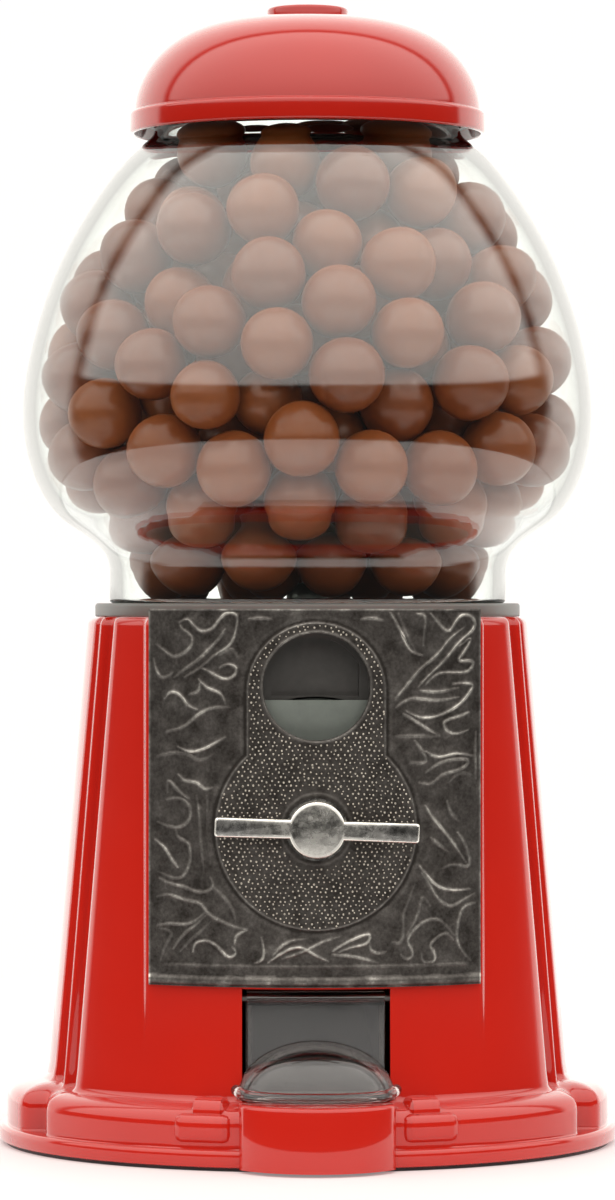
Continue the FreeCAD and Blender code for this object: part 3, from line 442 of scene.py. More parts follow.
# ---- cast base
BODY_TOP = BASE_HIGH.z
FELT_TOP = BASE_LOW.z
BRIM_R, BRIM_TOP = BASE_HIGH.x, 5.0
PAD_R, PAD_HALF = PLATE_R - 1.4, 40.4
SHELF_Z = 16.1
MOUTH_HALF, MOUTH_TOP = 17.5, 42.2
DECK_HOLE_R = 47.3
WHEEL_HOLE_R = 31.6
WALL = 2.7
FILLET, CROWN = 1.7, 2.2       # radii where the body meets the foot, and round its top edge
BUMP_HALF, BUMP_R, BUMP_FRONT = 18.3, 21.0, -BASE_LOW.y
# Three tiers of the casting: radius and half depth at the sides, half width and half depth in the
# middle, radius and half width at the front and back. The body tapers from its foot to its head.
BODY_FOOT_Z = 15.6
BODY_FOOT = (64.5, 17.0, 60.2, 25.5, 68.1, 57.1)
BODY_HEAD = (54.7, 17.0, 51.0, 25.5, 58.3, 47.8)
FOOT = (74.5, 25.2, 69.3, 25.5, 74.5, 64.2)
# height of the foot's shoulder at each distance inside its edge
SHOULDER = ((0.0, 10.9), (0.12, 11.7), (0.4, 12.5), (0.9, 13.3), (1.6, 13.95), (2.4, 14.4),
            (3.2, 14.75), (5.0, 15.35), (9.0, 16.1))
# cheeks and lugs beside the shelf: radii, angles from the front in degrees, heights, edge radius
LUGS = (("cheek", 68.0, 75.45, 15.6, 27.0, 6.1, 13.3, 2.2), ("lug", 64.0, 74.0, 16.9, 24.2, 9.0, 17.0, 2.9))


def ease(x):
    """Smooth step from 0 to 1."""
    x = np.clip(x, 0, 1)
    return x * x * (3 - 2 * x)


def round_max(a, b, r):
    """The larger, with the corner between the two rounded; round_min takes the smaller."""
    return np.minimum(np.maximum(a, b), -r) + np.hypot(np.maximum(a + r, 0), np.maximum(b + r, 0))


def round_min(a, b, r):
    return -round_max(-a, -b, r)


def tier_sizes(z):
    """The body's three tiers at height z."""
    share = (z - BODY_FOOT_Z) / (BODY_TOP - BODY_FOOT_Z)
    return tuple(a + (b - a) * share for a, b in zip(BODY_FOOT, BODY_HEAD))


def outside(x, y, sizes, edge=1.4, nook=0.9):
    """Distance outside the stepped outline, negative within it."""
    side_r, side_y, mid_x, mid_y, front_r, front_x = sizes
    reach, x, depth = np.hypot(x, y), np.abs(x), np.abs(y)
    side = round_max(reach - side_r, depth - side_y, edge)
    mid = round_max(x - mid_x, depth - mid_y, edge)
    front = round_max(reach - front_r, x - front_x, edge * 0.6)
    return round_min(round_min(side, mid, nook), front, nook)


def outside_body(x, y, z):
    pad = round_max(np.hypot(x, y) - PAD_R, np.abs(x) - PAD_HALF, 0.7) + np.where(y > 0, 50.0, 0.0)
    return round_min(outside(x, y, tier_sizes(z)), pad, 0.6)


def outside_foot(x, y, z=0.0):
    """The foot's walls are upright, so z changes nothing."""
    return outside(x, y, FOOT, 1.6, 1.2)


def turning_angles(sizes):
    """Angle from the front of each corner and nook of the stepped outline, in order."""
    side_r, side_y, mid_x, mid_y, front_r, front_x = sizes
    corners = [(0.0, 1.0), (PAD_HALF, math.sqrt(PAD_R ** 2 - PAD_HALF ** 2)),
               (PAD_HALF, math.sqrt(min(front_r, PAD_R) ** 2 - PAD_HALF ** 2)),
               (front_x, math.sqrt(front_r ** 2 - front_x ** 2)), (front_x, mid_y), (mid_x, mid_y),
               (mid_x, side_y), (math.sqrt(side_r ** 2 - side_y ** 2), side_y), (1.0, 0.0)]
    angles = [math.atan2(x, y) for x, y in corners]
    for i in range(1, len(angles)):
        angles[i] = max(angles[i], angles[i - 1] + 0.003)
    return angles


def ring_angles(sizes):
    """Angles round the whole ring, crowded at the corners and nooks."""
    turns = turning_angles(sizes)
    quarter = []
    for low, high, count in zip(turns, turns[1:], (26, 8, 16, 20, 12, 16, 10, 16)):
        quarter += [low + (high - low) * (0.5 - 0.5 * math.cos(math.pi * k / count)) for k in range(count)]
    half = quarter + [math.pi / 2] + [math.pi - a for a in reversed(quarter)]
    return np.array(half + [2 * math.pi - a for a in reversed(half[1:-1])])


def reach_of(distance, angle, z, level):
    """Radius at which a distance field takes the wanted level, for each angle."""
    sin, cos = np.sin(angle), -np.cos(angle)
    low, high = np.full(angle.shape, 30.0), np.full(angle.shape, 95.0)
    for _ in range(26):
        mid = (low + high) / 2
        within = distance(mid * sin, mid * cos, z) < level
        low, high = np.where(within, mid, low), np.where(within, high, mid)
    return (low + high) / 2


def shoulder_height(x, y):
    inside, height = zip(*SHOULDER)
    return np.interp(-outside_foot(x, y), inside, height)


def base_skin():
    """The hollow casting in rings of points, up its outside and down its inside."""
    rings = []

    def add(angle, r, z):
        rings.append(np.stack([r * np.sin(angle), -r * np.cos(angle), z + 0 * angle], axis=-1))

    foot = ring_angles(FOOT)
    for inset, z in ((0.9, FELT_TOP), (0.25, FELT_TOP + 0.3), (0, FELT_TOP + 1.0), (0, 3.9), (0.12, 4.45),
                     (0.45, 4.85), (1.0, BRIM_TOP)):
        add(foot, BRIM_R - inset + 0 * foot, z)

    def foot_ring(level, z):
        add(foot, reach_of(outside_foot, foot, 0.0, level), z)

    def body_ring(angle, at, level, z):
        """Ring at height z on the outline that the body has at another height."""
        add(angle, reach_of(outside_body, angle, at, level), z)

    for level, z in ((0.25, 5.02), (0.05, 5.2), (0.0, 5.6), (0.0, 7.5), (0.0, 9.4)):
        foot_ring(level, z)
    for inset, z in SHOULDER[:7]:
        foot_ring(-inset, z)
    edge = reach_of(outside_foot, foot, 0.0, -SHOULDER[6][0])
    body = ring_angles(tier_sizes(BODY_FOOT_Z))
    start = reach_of(outside_body, body, BODY_FOOT_Z, FILLET)
    for share in (0.3, 0.65):
        angle = foot + (body - foot) * share
        r = edge + (start - edge) * share
        add(angle, r, shoulder_height(r * np.sin(angle), r * np.cos(angle)))
    floor = shoulder_height(start * np.sin(body), start * np.cos(body))
    quarter = np.linspace(0, math.pi / 2, 7)
    for a in quarter:
        body_ring(body, BODY_FOOT_Z, FILLET * (1 - math.sin(a)), floor + FILLET * (1 - math.cos(a)))
    for z in np.linspace(20.0, BODY_TOP - CROWN, 22):
        angle = ring_angles(tier_sizes(z))
        body_ring(angle, z, 0.0, z)
    for a in quarter[1:]:
        body_ring(angle, z, -CROWN * (1 - math.cos(a)), z + CROWN * math.sin(a))
    for inset, drop in ((-0.4, 0.0), (0.0, 0.4), (0.0, WALL)):
        add(angle, DECK_HOLE_R - inset + 0 * angle, BODY_TOP - drop)
    for z in (BODY_TOP - WALL, 100.0, 60.0, BODY_FOOT_Z + 1.0):
        body_ring(ring_angles(tier_sizes(z)), z, -WALL, z)
    body_ring(body, BODY_FOOT_Z, -WALL, 12.4)
    foot_ring(-WALL - 0.8, 11.0)
    foot_ring(-WALL, FELT_TOP + 2.0)
    add(foot, 72.0 + 0 * foot, FELT_TOP)
    return mesh_piece("cast_base", np.concatenate(rings), grid_faces(len(rings), len(foot), True, True))


def bump_outline(inset):
    """Outline of the shelf in front of the foot."""
    half, r = BUMP_HALF - inset, BUMP_R - inset
    centre = -BUMP_FRONT + BUMP_R
    reach = math.asin(half / r)
    front = [(r * math.sin(a), centre - r * math.cos(a)) for a in np.linspace(-reach, reach, 28)]
    return front + [(half, -60.0), (-half, -60.0)]


def sector(name, r0, r1, a0, a1, z0, z1, bevel):
    """Block between two radii and two angles from the front, its corners rounded."""
    turn = [math.radians(a) for a in np.linspace(a0, a1, 8)]
    outline = [(r1 * math.sin(a), -r1 * math.cos(a)) for a in turn]
    outline += [(r0 * math.sin(a), -r0 * math.cos(a)) for a in reversed(turn)]
    return prism(name, outline, z0, z1, bevel)


def cast_base():
    base = base_skin()
    added = [prism("bump", bump_outline(0), FELT_TOP, SHELF_Z, 1.0, only_top=True)]
    for side in (-1, 1):
        for name, r0, r1, a0, a1, *rest in LUGS:
            added.append(sector(name, r0, r1, side * a0, side * a1, *rest))
    combine(base, added, "UNION")
    cuts = [prism("bump_hollow", bump_outline(WALL), -5, SHELF_Z - WALL),
            block("mouth", (-MOUTH_HALF, -72.0, SHELF_Z - 0.05), (MOUTH_HALF, -50.0, MOUTH_TOP)),
            rod("wheel_hole", WHEEL_HOLE_R, (-80, -40), (0, AXIS_Z)),
            block("window_hole", (-16, -80, 100), (16, -40, 127.0))]
    combine(base, cuts, "DIFFERENCE")
    tidy_mesh(base, 38)
    dress(base, "red_paint", "base", ["base_body"])


# ---- face plate
WINDOW_R, WINDOW_Z = 12.6, 113.5
STROKE_HALF = 0.5
BOSS_R, BOSS_NECK, BOSS_RISE = 24.1, 16.7, 0.42
PLATE_HALF, PLATE_T = PLATE_HIGH.x, 1.35
SHAFT_HOLE_R, COLLAR_R = 6.1, 8.3
LOW, MID, TOP = 0.5, 0.75, 1.0       # heights of the strokes


def boss_distance(x, z):
    """Distance outside the keyhole outline, negative within it."""
    disc = np.hypot(x, z - AXIS_Z) - BOSS_R
    cap = np.hypot(x, z - WINDOW_Z + 1.2) - BOSS_NECK
    neck = np.maximum(np.abs(x) - BOSS_NECK, np.maximum(z - WINDOW_Z + 1.2, AXIS_Z - z))
    return np.minimum(np.minimum(disc, cap), neck)


def stroke(field, x, z, points, width, height):
    """Raise a rounded ridge along a smooth line, tapered to both ends."""
    line = smooth_line(points, 5)
    lo, hi = line.min(0) - 2 * width, line.max(0) + 2 * width
    near = (x > lo[0]) & (x < hi[0]) & (z > lo[1]) & (z < hi[1])
    px, pz = x[near], z[near]
    best = np.full(px.shape, 1e9)
    along = np.zeros(px.shape)
    count = len(line) - 1
    for i in range(count):
        ax, az = line[i]
        dx, dz = line[i + 1] - line[i]
        t = np.clip(((px - ax) * dx + (pz - az) * dz) / (dx * dx + dz * dz + 1e-9), 0, 1)
        d = np.hypot(px - ax - t * dx, pz - az - t * dz)
        closer = d < best
        best[closer] = d[closer]
        along[closer] = (i + t[closer]) / count
    swell = np.sin(np.pi * np.clip(along * 0.86 + 0.10, 0, 1))
    ridge = height * (0.45 + 0.55 * swell) * np.clip(1 - (best / (width * (0.5 + 0.5 * swell))) ** 2, 0, 1)
    field[near] = np.maximum(field[near], ridge) + 0.12 * np.minimum(field[near], ridge)


# Strokes of the leaves and vines: how high, then x and z of each point along it in millimetres.
VINES = [
    # upper left
    (TOP, -32.3, 128.6, -30.4, 129.4, -29, 128, -27.2, 126.7, -25, 127, -22.8, 129.4, -20.6, 131, -19, 130.5,
     -18.8, 128, -19.3, 125.4, -21.2, 122.7, -23.9, 121, -26.9, 118.4, -31, 115.8),
    (MID, -21.5, 127, -23, 124.8, -25, 122.6, -27.7, 120, -31, 117.6, -33.5, 115.6),
    (MID, -32.3, 128.6, -31.5, 127, -29.9, 125.9, -29.3, 123.7, -30.4, 122.1, -33.7, 120.6, -35.8, 121.9,
     -37.7, 123.4),
    (MID, -38.3, 120, -37.5, 116.8, -36.4, 115.6, -34, 116.6),
    (TOP, -27, 117.9, -24.4, 116.6, -21.7, 115.4, -19.3, 116.3, -19, 118, -20.6, 118.8, -22.8, 118),
    (LOW, -22.8, 121, -20, 122.4, -18.5, 120),
    (TOP, -27.7, 115.2, -25.5, 113.2, -22.8, 112, -21.4, 109.4),
    (MID, -27.4, 114.8, -27.8, 112.6, -30, 111.6),
    (TOP, -35.8, 110.6, -34.2, 112.2, -32, 111.4, -30.4, 109.3, -28, 108),
    (MID, -35.3, 102.8, -31, 104.2, -28.2, 106.6, -24.4, 108.5, -20.4, 108.7),
    (TOP, -32.6, 99.2, -29.9, 98.2, -26.6, 98.8, -23.9, 100.2, -21.5, 101.6),
    (LOW, -37.5, 97, -34.2, 97.7, -29.9, 97.3, -27.7, 96.2, -24.4, 97.5),
    (MID, -32.6, 92.7, -31, 91.3, -28.2, 90.8, -26, 89.3, -24.6, 89.6),
    (MID, -35, 88.4, -34.8, 91.1, -32.6, 88.9, -29.9, 86.8),
    # lower left
    (MID, -35.3, 86.7, -32, 87, -29.9, 85.2, -29.9, 82.3, -31.8, 80.4, -34.8, 80.4, -37.5, 81.4),
    (MID, -33.1, 79.6, -32.6, 78, -30.4, 76.6, -29.6, 73.9, -30.4, 70.2, -32, 68.3, -34.8, 68.5,
     -37.2, 69.6),
    (TOP, -38, 77.1, -35.8, 75.3, -34.2, 72.8, -32.6, 70.7),
    (LOW, -28.2, 87.8, -27.7, 84, -27.2, 77, -26.4, 69.6),
    (LOW, -25.8, 87.8, -25.6, 84, -25.4, 78, -24.8, 71.8),
    (MID, -37, 68, -34.8, 67, -31, 66.1, -27.2, 65, -24.4, 66.4, -25, 68.4),
    (MID, -37.5, 63.7, -34.8, 64.2, -31, 63.1, -27.2, 62.1, -25.5, 60, -22.8, 58.4, -19.5, 57, -16.3, 56.2),
    (MID, -37.5, 56.8, -34.8, 57.3, -31, 57.3, -28.2, 58.4, -26, 60.5),
    (LOW, -37, 56.2, -34.2, 55.2, -35.3, 52.5, -36.7, 48.4),
    (MID, -33.7, 51.4, -31.5, 54.6, -28.8, 57, -26, 59.6),
    (LOW, -32, 50.9, -29.9, 53.3, -27.7, 55.3, -25, 58),
    (TOP, -29, 50.9, -28.5, 52.7, -26, 53.5, -23.9, 52.7, -22, 50.9, -20.1, 49.8, -19, 50.8, -19.8, 52.2),
    (MID, -16.3, 56.2, -19, 54.4, -19.3, 52.8),
    (LOW, -24.4, 66.4, -21.7, 63.7, -19.8, 61, -19, 57.9),
    # below the keyhole
    (TOP, -14.6, 48.4, -13, 49.2, -12.5, 52, -13, 54.4),
    (TOP, -11.4, 48.6, -8.1, 50.9, -3.8, 52.2, -0.5, 50.5, 2.7, 49),
    (MID, -10.3, 50.3, -7, 53.3, -2.7, 54.2),
    (MID, -8.1, 49.6, -4.9, 50.6, -1.6, 52, 2.2, 53.8, 5.4, 54.6),
    (TOP, 3.8, 51.4, 6.5, 53, 9.8, 54.6, 12.5, 54.9, 12.2, 53.6, 9.2, 52.4, 5.2, 51),
    (MID, 3.8, 50.4, 7.1, 50.2, 11.4, 49.4, 14.6, 48.4),
    (MID, 12.6, 53.2, 13, 51.4, 14.6, 50.7, 16.5, 51.1),
    # lower right
    (TOP, 26, 85.2, 27.7, 82.5, 30.4, 79.3, 33, 76, 35.8, 71.8),
    (MID, 27.2, 77.7, 29.3, 76, 31.5, 74.4),
    (MID, 31.2, 86.4, 32.3, 83.4, 34, 81.6),
    (MID, 33.7, 78.8, 35.3, 76.6, 36.1, 70.7, 33.7, 71.2, 29.9, 70.4),
    (TOP, 24.4, 71.2, 26.6, 68.5, 28.8, 66.4, 32, 65.3, 36.9, 65.3),
    (MID, 25, 69.6, 27.2, 66.4, 29.3, 63.1, 32, 61.5, 34.8, 62.6, 38, 64.2),
    (MID, 38, 62, 35.3, 61, 34.2, 58.6, 33.7, 53.5, 35.3, 50.3, 36.9, 48.4),
    (MID, 20, 50.3, 21.7, 49.2, 22.8, 50.3, 21.7, 53.5, 23.3, 56.2, 26, 58.1, 28.8, 58.4, 31.5, 56.2,
     33, 54.6),
    (MID, 25, 50.3, 25.5, 48.6, 27.7, 48.4, 28.2, 50.3, 27.2, 52, 28.8, 54.1, 31, 55, 32.8, 53.5),
    (LOW, 21.2, 54.6, 23.3, 57.8, 24.4, 61, 25.3, 63.7, 27.2, 61.6),
    (LOW, 17.8, 53.2, 19.5, 53, 20.6, 55.7, 20.6, 58.9, 21.9, 63.1, 23.4, 66.9),
    # upper right
    (TOP, 17.4, 131, 19.2, 128, 20.8, 124.8, 22.5, 122.1, 25.3, 120.8),
    (LOW, 19.4, 130.8, 20.7, 127.5, 22.1, 124.3, 23.8, 121.6),
    (MID, 23.9, 130.7, 25.6, 130.2, 25.8, 127.5, 25.4, 123.2),
    (TOP, 27.2, 130.7, 29.3, 128.3, 31.5, 126.7, 33.7, 129.4, 35.3, 130.5, 37.5, 129.7, 38, 128, 35.8, 125.4,
     32.6, 122.1, 30.2, 119.3, 26, 115.4, 24.2, 113.3),
    (MID, 18.4, 110.3, 21.7, 114.1, 25, 117.9, 28.8, 121, 32, 124.8, 35.3, 127.3),
    (TOP, 34.2, 123.2, 36.9, 124.8, 35.3, 121.6, 34.2, 119.7, 37.5, 119.2, 37.2, 117.9, 33.7, 116.8,
     28.8, 116.4, 26, 114.1),
    (TOP, 32.6, 114.1, 37.5, 113.3, 36.9, 112.3, 34.2, 109.3, 29.9, 106.9, 24.4, 106.3, 21.2, 107.7),
    (MID, 24.8, 112.5, 29.3, 112.3, 34, 113.2),
    (MID, 18.8, 108.7, 22.3, 110.6, 27.2, 110.3, 34.2, 110.9),
    (TOP, 20.6, 107.1, 23.3, 105.5, 26.6, 103.4, 29.3, 102),
    (TOP, 36.6, 107.4, 33.7, 106.3, 30.4, 104.7, 31.5, 102.8, 36.4, 103.1),
    (LOW, 18.2, 101.8, 23.3, 101.8, 29.3, 101.8),
    (MID, 22.3, 95.6, 26, 95.9, 24.6, 99.1, 23.3, 100.7),
    (TOP, 26, 98.2, 28.8, 96.9, 32.6, 97.5, 37.5, 96.9),
    (MID, 38.3, 102.6, 38.2, 97.5, 38.3, 91.6),
    (MID, 26, 93.2, 29.3, 95.3, 33.1, 96.2, 36.4, 95.6, 35.3, 94.3, 29.9, 92.5, 27.2, 90.5, 24.4, 90.8),
    (LOW, 32, 91.1, 34.2, 92.9, 36.9, 92.6),
    (MID, -16, 129.4, -13, 129.7, -10.5, 129.4),
    (MID, 10.5, 129.4, 13, 129.7, 16, 129),
]


def ornament(x, z):
    """Leaf and vine relief round the keyhole, 0 to about 1."""
    field = np.zeros_like(x)
    for height, *points in VINES:
        stroke(field, x, z, np.reshape(points, (-1, 2)), STROKE_HALF, height)
    return field


def blurred(field, reach):
    """The field smoothed over a number of grid steps."""
    steps = np.arange(-3 * reach, 3 * reach + 1)
    weight = np.exp(-0.5 * (steps / reach) ** 2)
    weight /= weight.sum()
    for axis in (1, 0):
        field = np.apply_along_axis(np.convolve, axis, field, weight, "same")
    return field


def bell(x, centre, width):
    return np.exp(-((x - centre) / width) ** 2)


def plate_surface(x, z):
    """Height of the plate's front over its plain cylinder, and how bright it is rubbed, with a painted
    highlight along its edges and the crest of its bottom bar.
    """
    keyhole = boss_distance(x, z)
    edge = np.minimum(PLATE_HALF - np.abs(x), PLATE_HIGH.z - z)
    relief = ornament(x, z) * ease((keyhole - 1.2) / 1.0) * ease((edge - 0.3) / 0.6)
    relief *= ease((z - PLATE_LOW.z - 5.0) / 0.8)
    rng = np.random.default_rng(5)
    waves = zip(rng.uniform(0.15, 1.3, 10), rng.uniform(-1.2, 1.2, 10), rng.uniform(0, 6, 10))
    lumps = sum(np.sin(x * fx + z * fz + p) for fx, fz, p in waves) * 0.1
    mound = blurred(relief, 5)
    height = relief * 0.42 + mound * 1.30 + lumps * 0.30
    worn = 0.23 + relief * 0.58 - blurred(relief, 3) * 0.30 + mound * 0.34 + lumps * 0.18
    boss = ease(-keyhole / 0.4 + 0.3)
    groove = bell(keyhole, 0.15, 0.26)
    inner_line = bell(keyhole, -0.45, 0.24)
    height = height * (1 - boss) + BOSS_RISE * boss - 0.30 * groove
    worn = worn * (1 - boss) + 0.20 * boss - 0.34 * groove
    worn += 0.38 * inner_line + 0.10 * bell(keyhole, 1.1, 0.4)
    rim = bell(np.hypot(x, z - WINDOW_Z), WINDOW_R + 0.4, 0.28)
    collar = bell(np.hypot(x, z - AXIS_Z), COLLAR_R, 0.3)
    height += 0.28 * rim + 0.16 * collar
    worn += 0.36 * rim + 0.20 * collar
    border = 1 - ease((edge - 0.1) / 0.5)
    bar = np.clip(1 - ((z - PLATE_LOW.z - 1.5) / 1.2) ** 2, 0, 1) ** 0.6
    line = bell(z, PLATE_LOW.z + 4.9, 0.32) * ease((PLATE_HALF - 2 - np.abs(x)) / 3)
    height += 0.28 * border + 0.30 * line
    height = np.maximum(height, 0.75 * bar)
    # painted highlight: the plate's edges and the crest of its bottom bar are lightened
    worn += 0.40 * border + 0.16 * line + (0.20 + 0.20 * lumps) * bar
    return height, np.clip(worn, 0, 1)


def face_plate():
    pitch = 0.28
    cols = int(2 * PLATE_HALF / pitch) + 1
    rows = int((PLATE_HIGH.z - PLATE_LOW.z) / pitch) + 1
    x, z = np.meshgrid(np.linspace(-PLATE_HALF, PLATE_HALF, cols),
                       np.linspace(PLATE_LOW.z, PLATE_HIGH.z, rows))
    height, worn = plate_surface(x, z)
    front = np.stack([x, -np.sqrt((PLATE_R + height) ** 2 - x * x), z], axis=-1).reshape(-1, 3)
    count = rows * cols
    loop = list(range(cols)) + [i * cols + cols - 1 for i in range(1, rows)]
    loop += [(rows - 1) * cols + j for j in range(cols - 2, -1, -1)]
    loop += [i * cols for i in range(rows - 2, 0, -1)]
    back = front[loop]
    back[:, 1] = -np.sqrt((PLATE_R - PLATE_T) ** 2 - back[:, 0] ** 2)
    faces = grid_faces(rows, cols)
    size = len(loop)
    for k, (a, b) in enumerate(zip(loop, loop[1:] + loop[:1])):
        faces.append((b, a, count + k, count + (k + 1) % size))
    # the plain back in upright strips; the outer two also take the corners along the sides
    top = count + 2 * cols + rows - 3
    for j in range(cols - 1):
        right = list(range(top - j - 2, count + cols - 1, -1)) if j == cols - 2 else []
        left = list(range(count + size - 1, top, -1)) if j == 0 else []
        faces.append((top - j, top - j - 1, *right, count + j + 1, count + j, *left))
    plate = mesh_piece("plate_relief", np.concatenate([front, back]), faces)
    add_value(plate, "relief", np.concatenate([worn.reshape(-1), np.full(size, 0.2)]))
    combine(plate, [rod("window_cut", WINDOW_R, (-90, -50), (0, WINDOW_Z), segments=160),
                    rod("shaft_cut", SHAFT_HOLE_R, (-90, -50), (0, AXIS_Z))], "DIFFERENCE")
    plate.data.shade_smooth()
    plate.data.set_sharp_from_angle(angle=math.radians(50))
    dress(plate, "antique_plate", "base", ["face_plate"])


def add_value(obj, name, values):
    attribute = obj.data.attributes.new(name, "FLOAT", "POINT")
    attribute.data.foreach_set("value", np.asarray(values, np.float32))


def pebbles():
    """Small domes all over the keyhole boss."""
    rng = random.Random(3)
    spots = []
    pitch = 1.3
    row, z = 0, AXIS_Z - BOSS_R
    while z < WINDOW_Z + BOSS_NECK:
        for k in range(-20, 21):
            x = (k + (row % 2) / 2) * pitch + rng.uniform(-0.3, 0.3)
            spot = (x, z + rng.uniform(-0.3, 0.3))
            clear_hub = math.hypot(spot[0], spot[1] - AXIS_Z) > COLLAR_R + 1.1
            clear_window = math.hypot(spot[0], spot[1] - WINDOW_Z) > WINDOW_R + 0.95
            if clear_hub and clear_window and boss_distance(*spot) < -0.7:
                spots.append(spot)
        z += pitch * 0.80
        row += 1
    sides = 8
    rings = ((1.0, -0.12), (0.92, 0.10), (0.62, 0.78), (0.28, 0.97))      # width and height of each
    verts, faces, worn = [], [], []
    for x, z in spots:
        size = rng.uniform(0.24, 0.38)
        tall = rng.uniform(0.14, 0.28)
        start = len(verts)
        turn = rng.uniform(0, math.pi)
        for spread, up in rings:
            for k in range(sides):
                a = turn + 2 * math.pi * k / sides
                px, pz = x + size * spread * math.cos(a), z + size * spread * math.sin(a)
                r = PLATE_R + BOSS_RISE + tall * up
                verts.append((px, -math.sqrt(r * r - px * px), pz))
                worn.append(max(0.0, up))
        faces += [tuple(start + i for i in face) for face in tube_faces(len(rings), sides)]
    obj = mesh_piece("plate_pebbles", verts, faces)
    add_value(obj, "relief", worn)
    dress(obj, "antique_plate", "base", material=pebble_metal())


# ---- handle
def handle():
    """Bar and hub in one: polished sides painted cream-bright as a highlight, a speckled front, and the
    hub's front between the two.
    """
    front, back, hub_r = -HUB_LOW.y, -HUB_HIGH.y, 6.8
    half, thick = 24.05, 2.3
    tilt = math.radians(2.0)
    outline = [(-half, -thick), (-half, thick), (half, thick), (half, -thick)]
    bar = prism("handle_bar", outline, back + 0.3, front - 0.2, 0.75, segments=4)
    hub = lathe("handle_hub", rounded([(0, back, 0), (hub_r, back, 0.2), (hub_r, front, 0.95),
                                       (0, front, 0)], 5), 72)
    combine(bar, [hub], "UNION")
    polish_and_highlight = []
    bm = bmesh.new()
    bm.from_mesh(bar.data)
    for v in bm.verts:
        x, up, out = v.co / MM
        sag = 0.10 * math.sin(x * 0.28) + 0.05 * math.sin(x * 0.9 + 1)
        # painted highlight, with polish: 1 on the sides and bevels, 0.32 on the hub's front, 0 on the bar's
        # front
        polish_and_highlight.append(1.0 if out < front - 0.32 else 0.32 * (math.hypot(x, up) < hub_r - 0.2))
        if abs(x) > hub_r:
            up = up * (0.90 + 0.0055 * abs(x)) + sag
        v.co = Vector((x * math.cos(tilt) + up * math.sin(tilt), -out,
                       AXIS_Z - x * math.sin(tilt) + up * math.cos(tilt))) * MM
    bm.to_mesh(bar.data)
    bm.free()
    bar.name = "turn_handle"
    add_value(bar, "polish_and_highlight", polish_and_highlight)
    tidy_mesh(bar, 30)
    dress(bar, "polished_zinc", "crank", ["handle"])


# ---- glass, ring, balls and lid
GLOBE_LOW, GLOBE_HIGH = cad_box("globe")
GLASS_T, LIP_R = 3.2, 1.6
BULB = ((49.3, 141.6), (50.1, 144.6), (54.2, 149.1), (61.0, 153.9), (67.6, 163.6), (70.8, 179.5),
        (68.3, 198.5), (61.3, 218.4), (52.8, 233.3), (45.2, 243.0), (41.2, 246.6), (38.2, 249.6),
        (37.5, 252.4))


def globe():
    line = smooth_line(BULB, 8)
    foot_r, neck_r, lip_z = BULB[0][0], BULB[-1][0], GLOBE_HIGH.z - LIP_R
    foot = rounded([(foot_r - 1.6, GLOBE_LOW.z, 0), (foot_r, GLOBE_LOW.z, 1.2), (foot_r, 140.6, 0)])
    way = np.gradient(line, axis=0)
    way /= np.linalg.norm(way, axis=1)[:, None]
    inner = line + np.stack([-way[:, 1], way[:, 0]], axis=1) * GLASS_T
    lip = [(neck_r - LIP_R + LIP_R * math.cos(a), lip_z + LIP_R * math.sin(a))
           for a in np.linspace(0.3, 2.8, 7)]
    outline = np.concatenate([foot, line, [(neck_r, lip_z)], lip, [(neck_r - GLASS_T, lip_z)], inner[::-1],
                              [(foot_r - GLASS_T, 140.6), (foot_r - GLASS_T, GLOBE_LOW.z + 0.6),
                               (foot_r - GLASS_T + 0.6, GLOBE_LOW.z)]])
    obj = lathe("globe_glass", outline, 192, closed=True)
    dress(obj, "clear_glass", "base", ["globe"])


def seat_ring():
    low, high = cad_box("globe_gasket")
    outline = rounded([(46.2, low.z + 1.2, 0), (51.5, low.z + 1.2, 0.1), (51.5, low.z, 0.1),
                       (52.7, low.z, 0.2), (52.7, high.z, 0.7), (46.2, high.z, 0.2),
                       (46.2, low.z + 1.3, 0)], 4)
    obj = lathe("seat_ring", outline, 144, closed=True)
    dress(obj, "grey_rubber", "base", ["globe_gasket"])


def ball_places():
    """Centre and radius of each ball, from the islands of the CAD node's mesh."""
    mesh = NODES["candy_balls"].data
    co = np.array([v.co for v in mesh.vertices]) / MM
    root = list(range(len(co)))

    def find(i):
        while root[i] != i:
            root[i] = root[root[i]]
            i = root[i]
        return i

    for edge in mesh.edges:
        a, b = (find(i) for i in edge.vertices)
        root[a] = b
    groups = {}
    for i in range(len(co)):
        groups.setdefault(find(i), []).append(i)
    places = []
    for members in groups.values():
        pts = co[members]
        places.append(((pts.min(0) + pts.max(0)) / 2, float((pts.max(0) - pts.min(0)).max()) / 2))
    return sorted(places, key=lambda p: tuple(p[0].round(3)))


def quad_ball(cuts=8):
    """Unit ball from a cube's six faces: points and quads."""
    bm = bmesh.new()
    bmesh.ops.create_cube(bm, size=2)
    bmesh.ops.subdivide_edges(bm, edges=bm.edges, cuts=cuts - 1, use_grid_fill=True)
    for v in bm.verts:
        v.co = Vector([math.tan(c * math.pi / 4) for c in v.co]).normalized()
    verts = np.array([v.co for v in bm.verts])
    faces = [tuple(v.index for v in f.verts) for f in bm.faces]
    bm.free()
    return verts, faces


def candy():
    """Every ball as one mesh, each a little dented, inside its CAD ball's reach."""
    ball, quads = quad_ball()
    rng = np.random.default_rng(21)
    verts, faces, tones = [], [], []
    for centre, radius in ball_places():
        start = len(verts) * len(ball)
        dents = np.zeros(len(ball))
        for _ in range(5):
            way = rng.normal(size=3)
            way /= np.linalg.norm(way)
            depth, waves = rng.uniform(-0.012, 0.014), rng.uniform(1.5, 3.2)
            dents += depth * np.cos(waves * np.arccos(np.clip(ball @ way, -1, 1)))
        scale = radius * (1 - np.abs(dents).max() * 0.6)
        verts.append(centre + ball * (scale * (1 + dents))[:, None])
        faces += [tuple(i + start for i in q) for q in quads]
        tones.append(np.full(len(ball), rng.uniform(0, 1)))
    obj = mesh_piece("candy_fill", np.concatenate(verts), faces)
    add_value(obj, "tone", np.concatenate(tones))
    dress(obj, "chocolate", "base", ["candy_balls"])


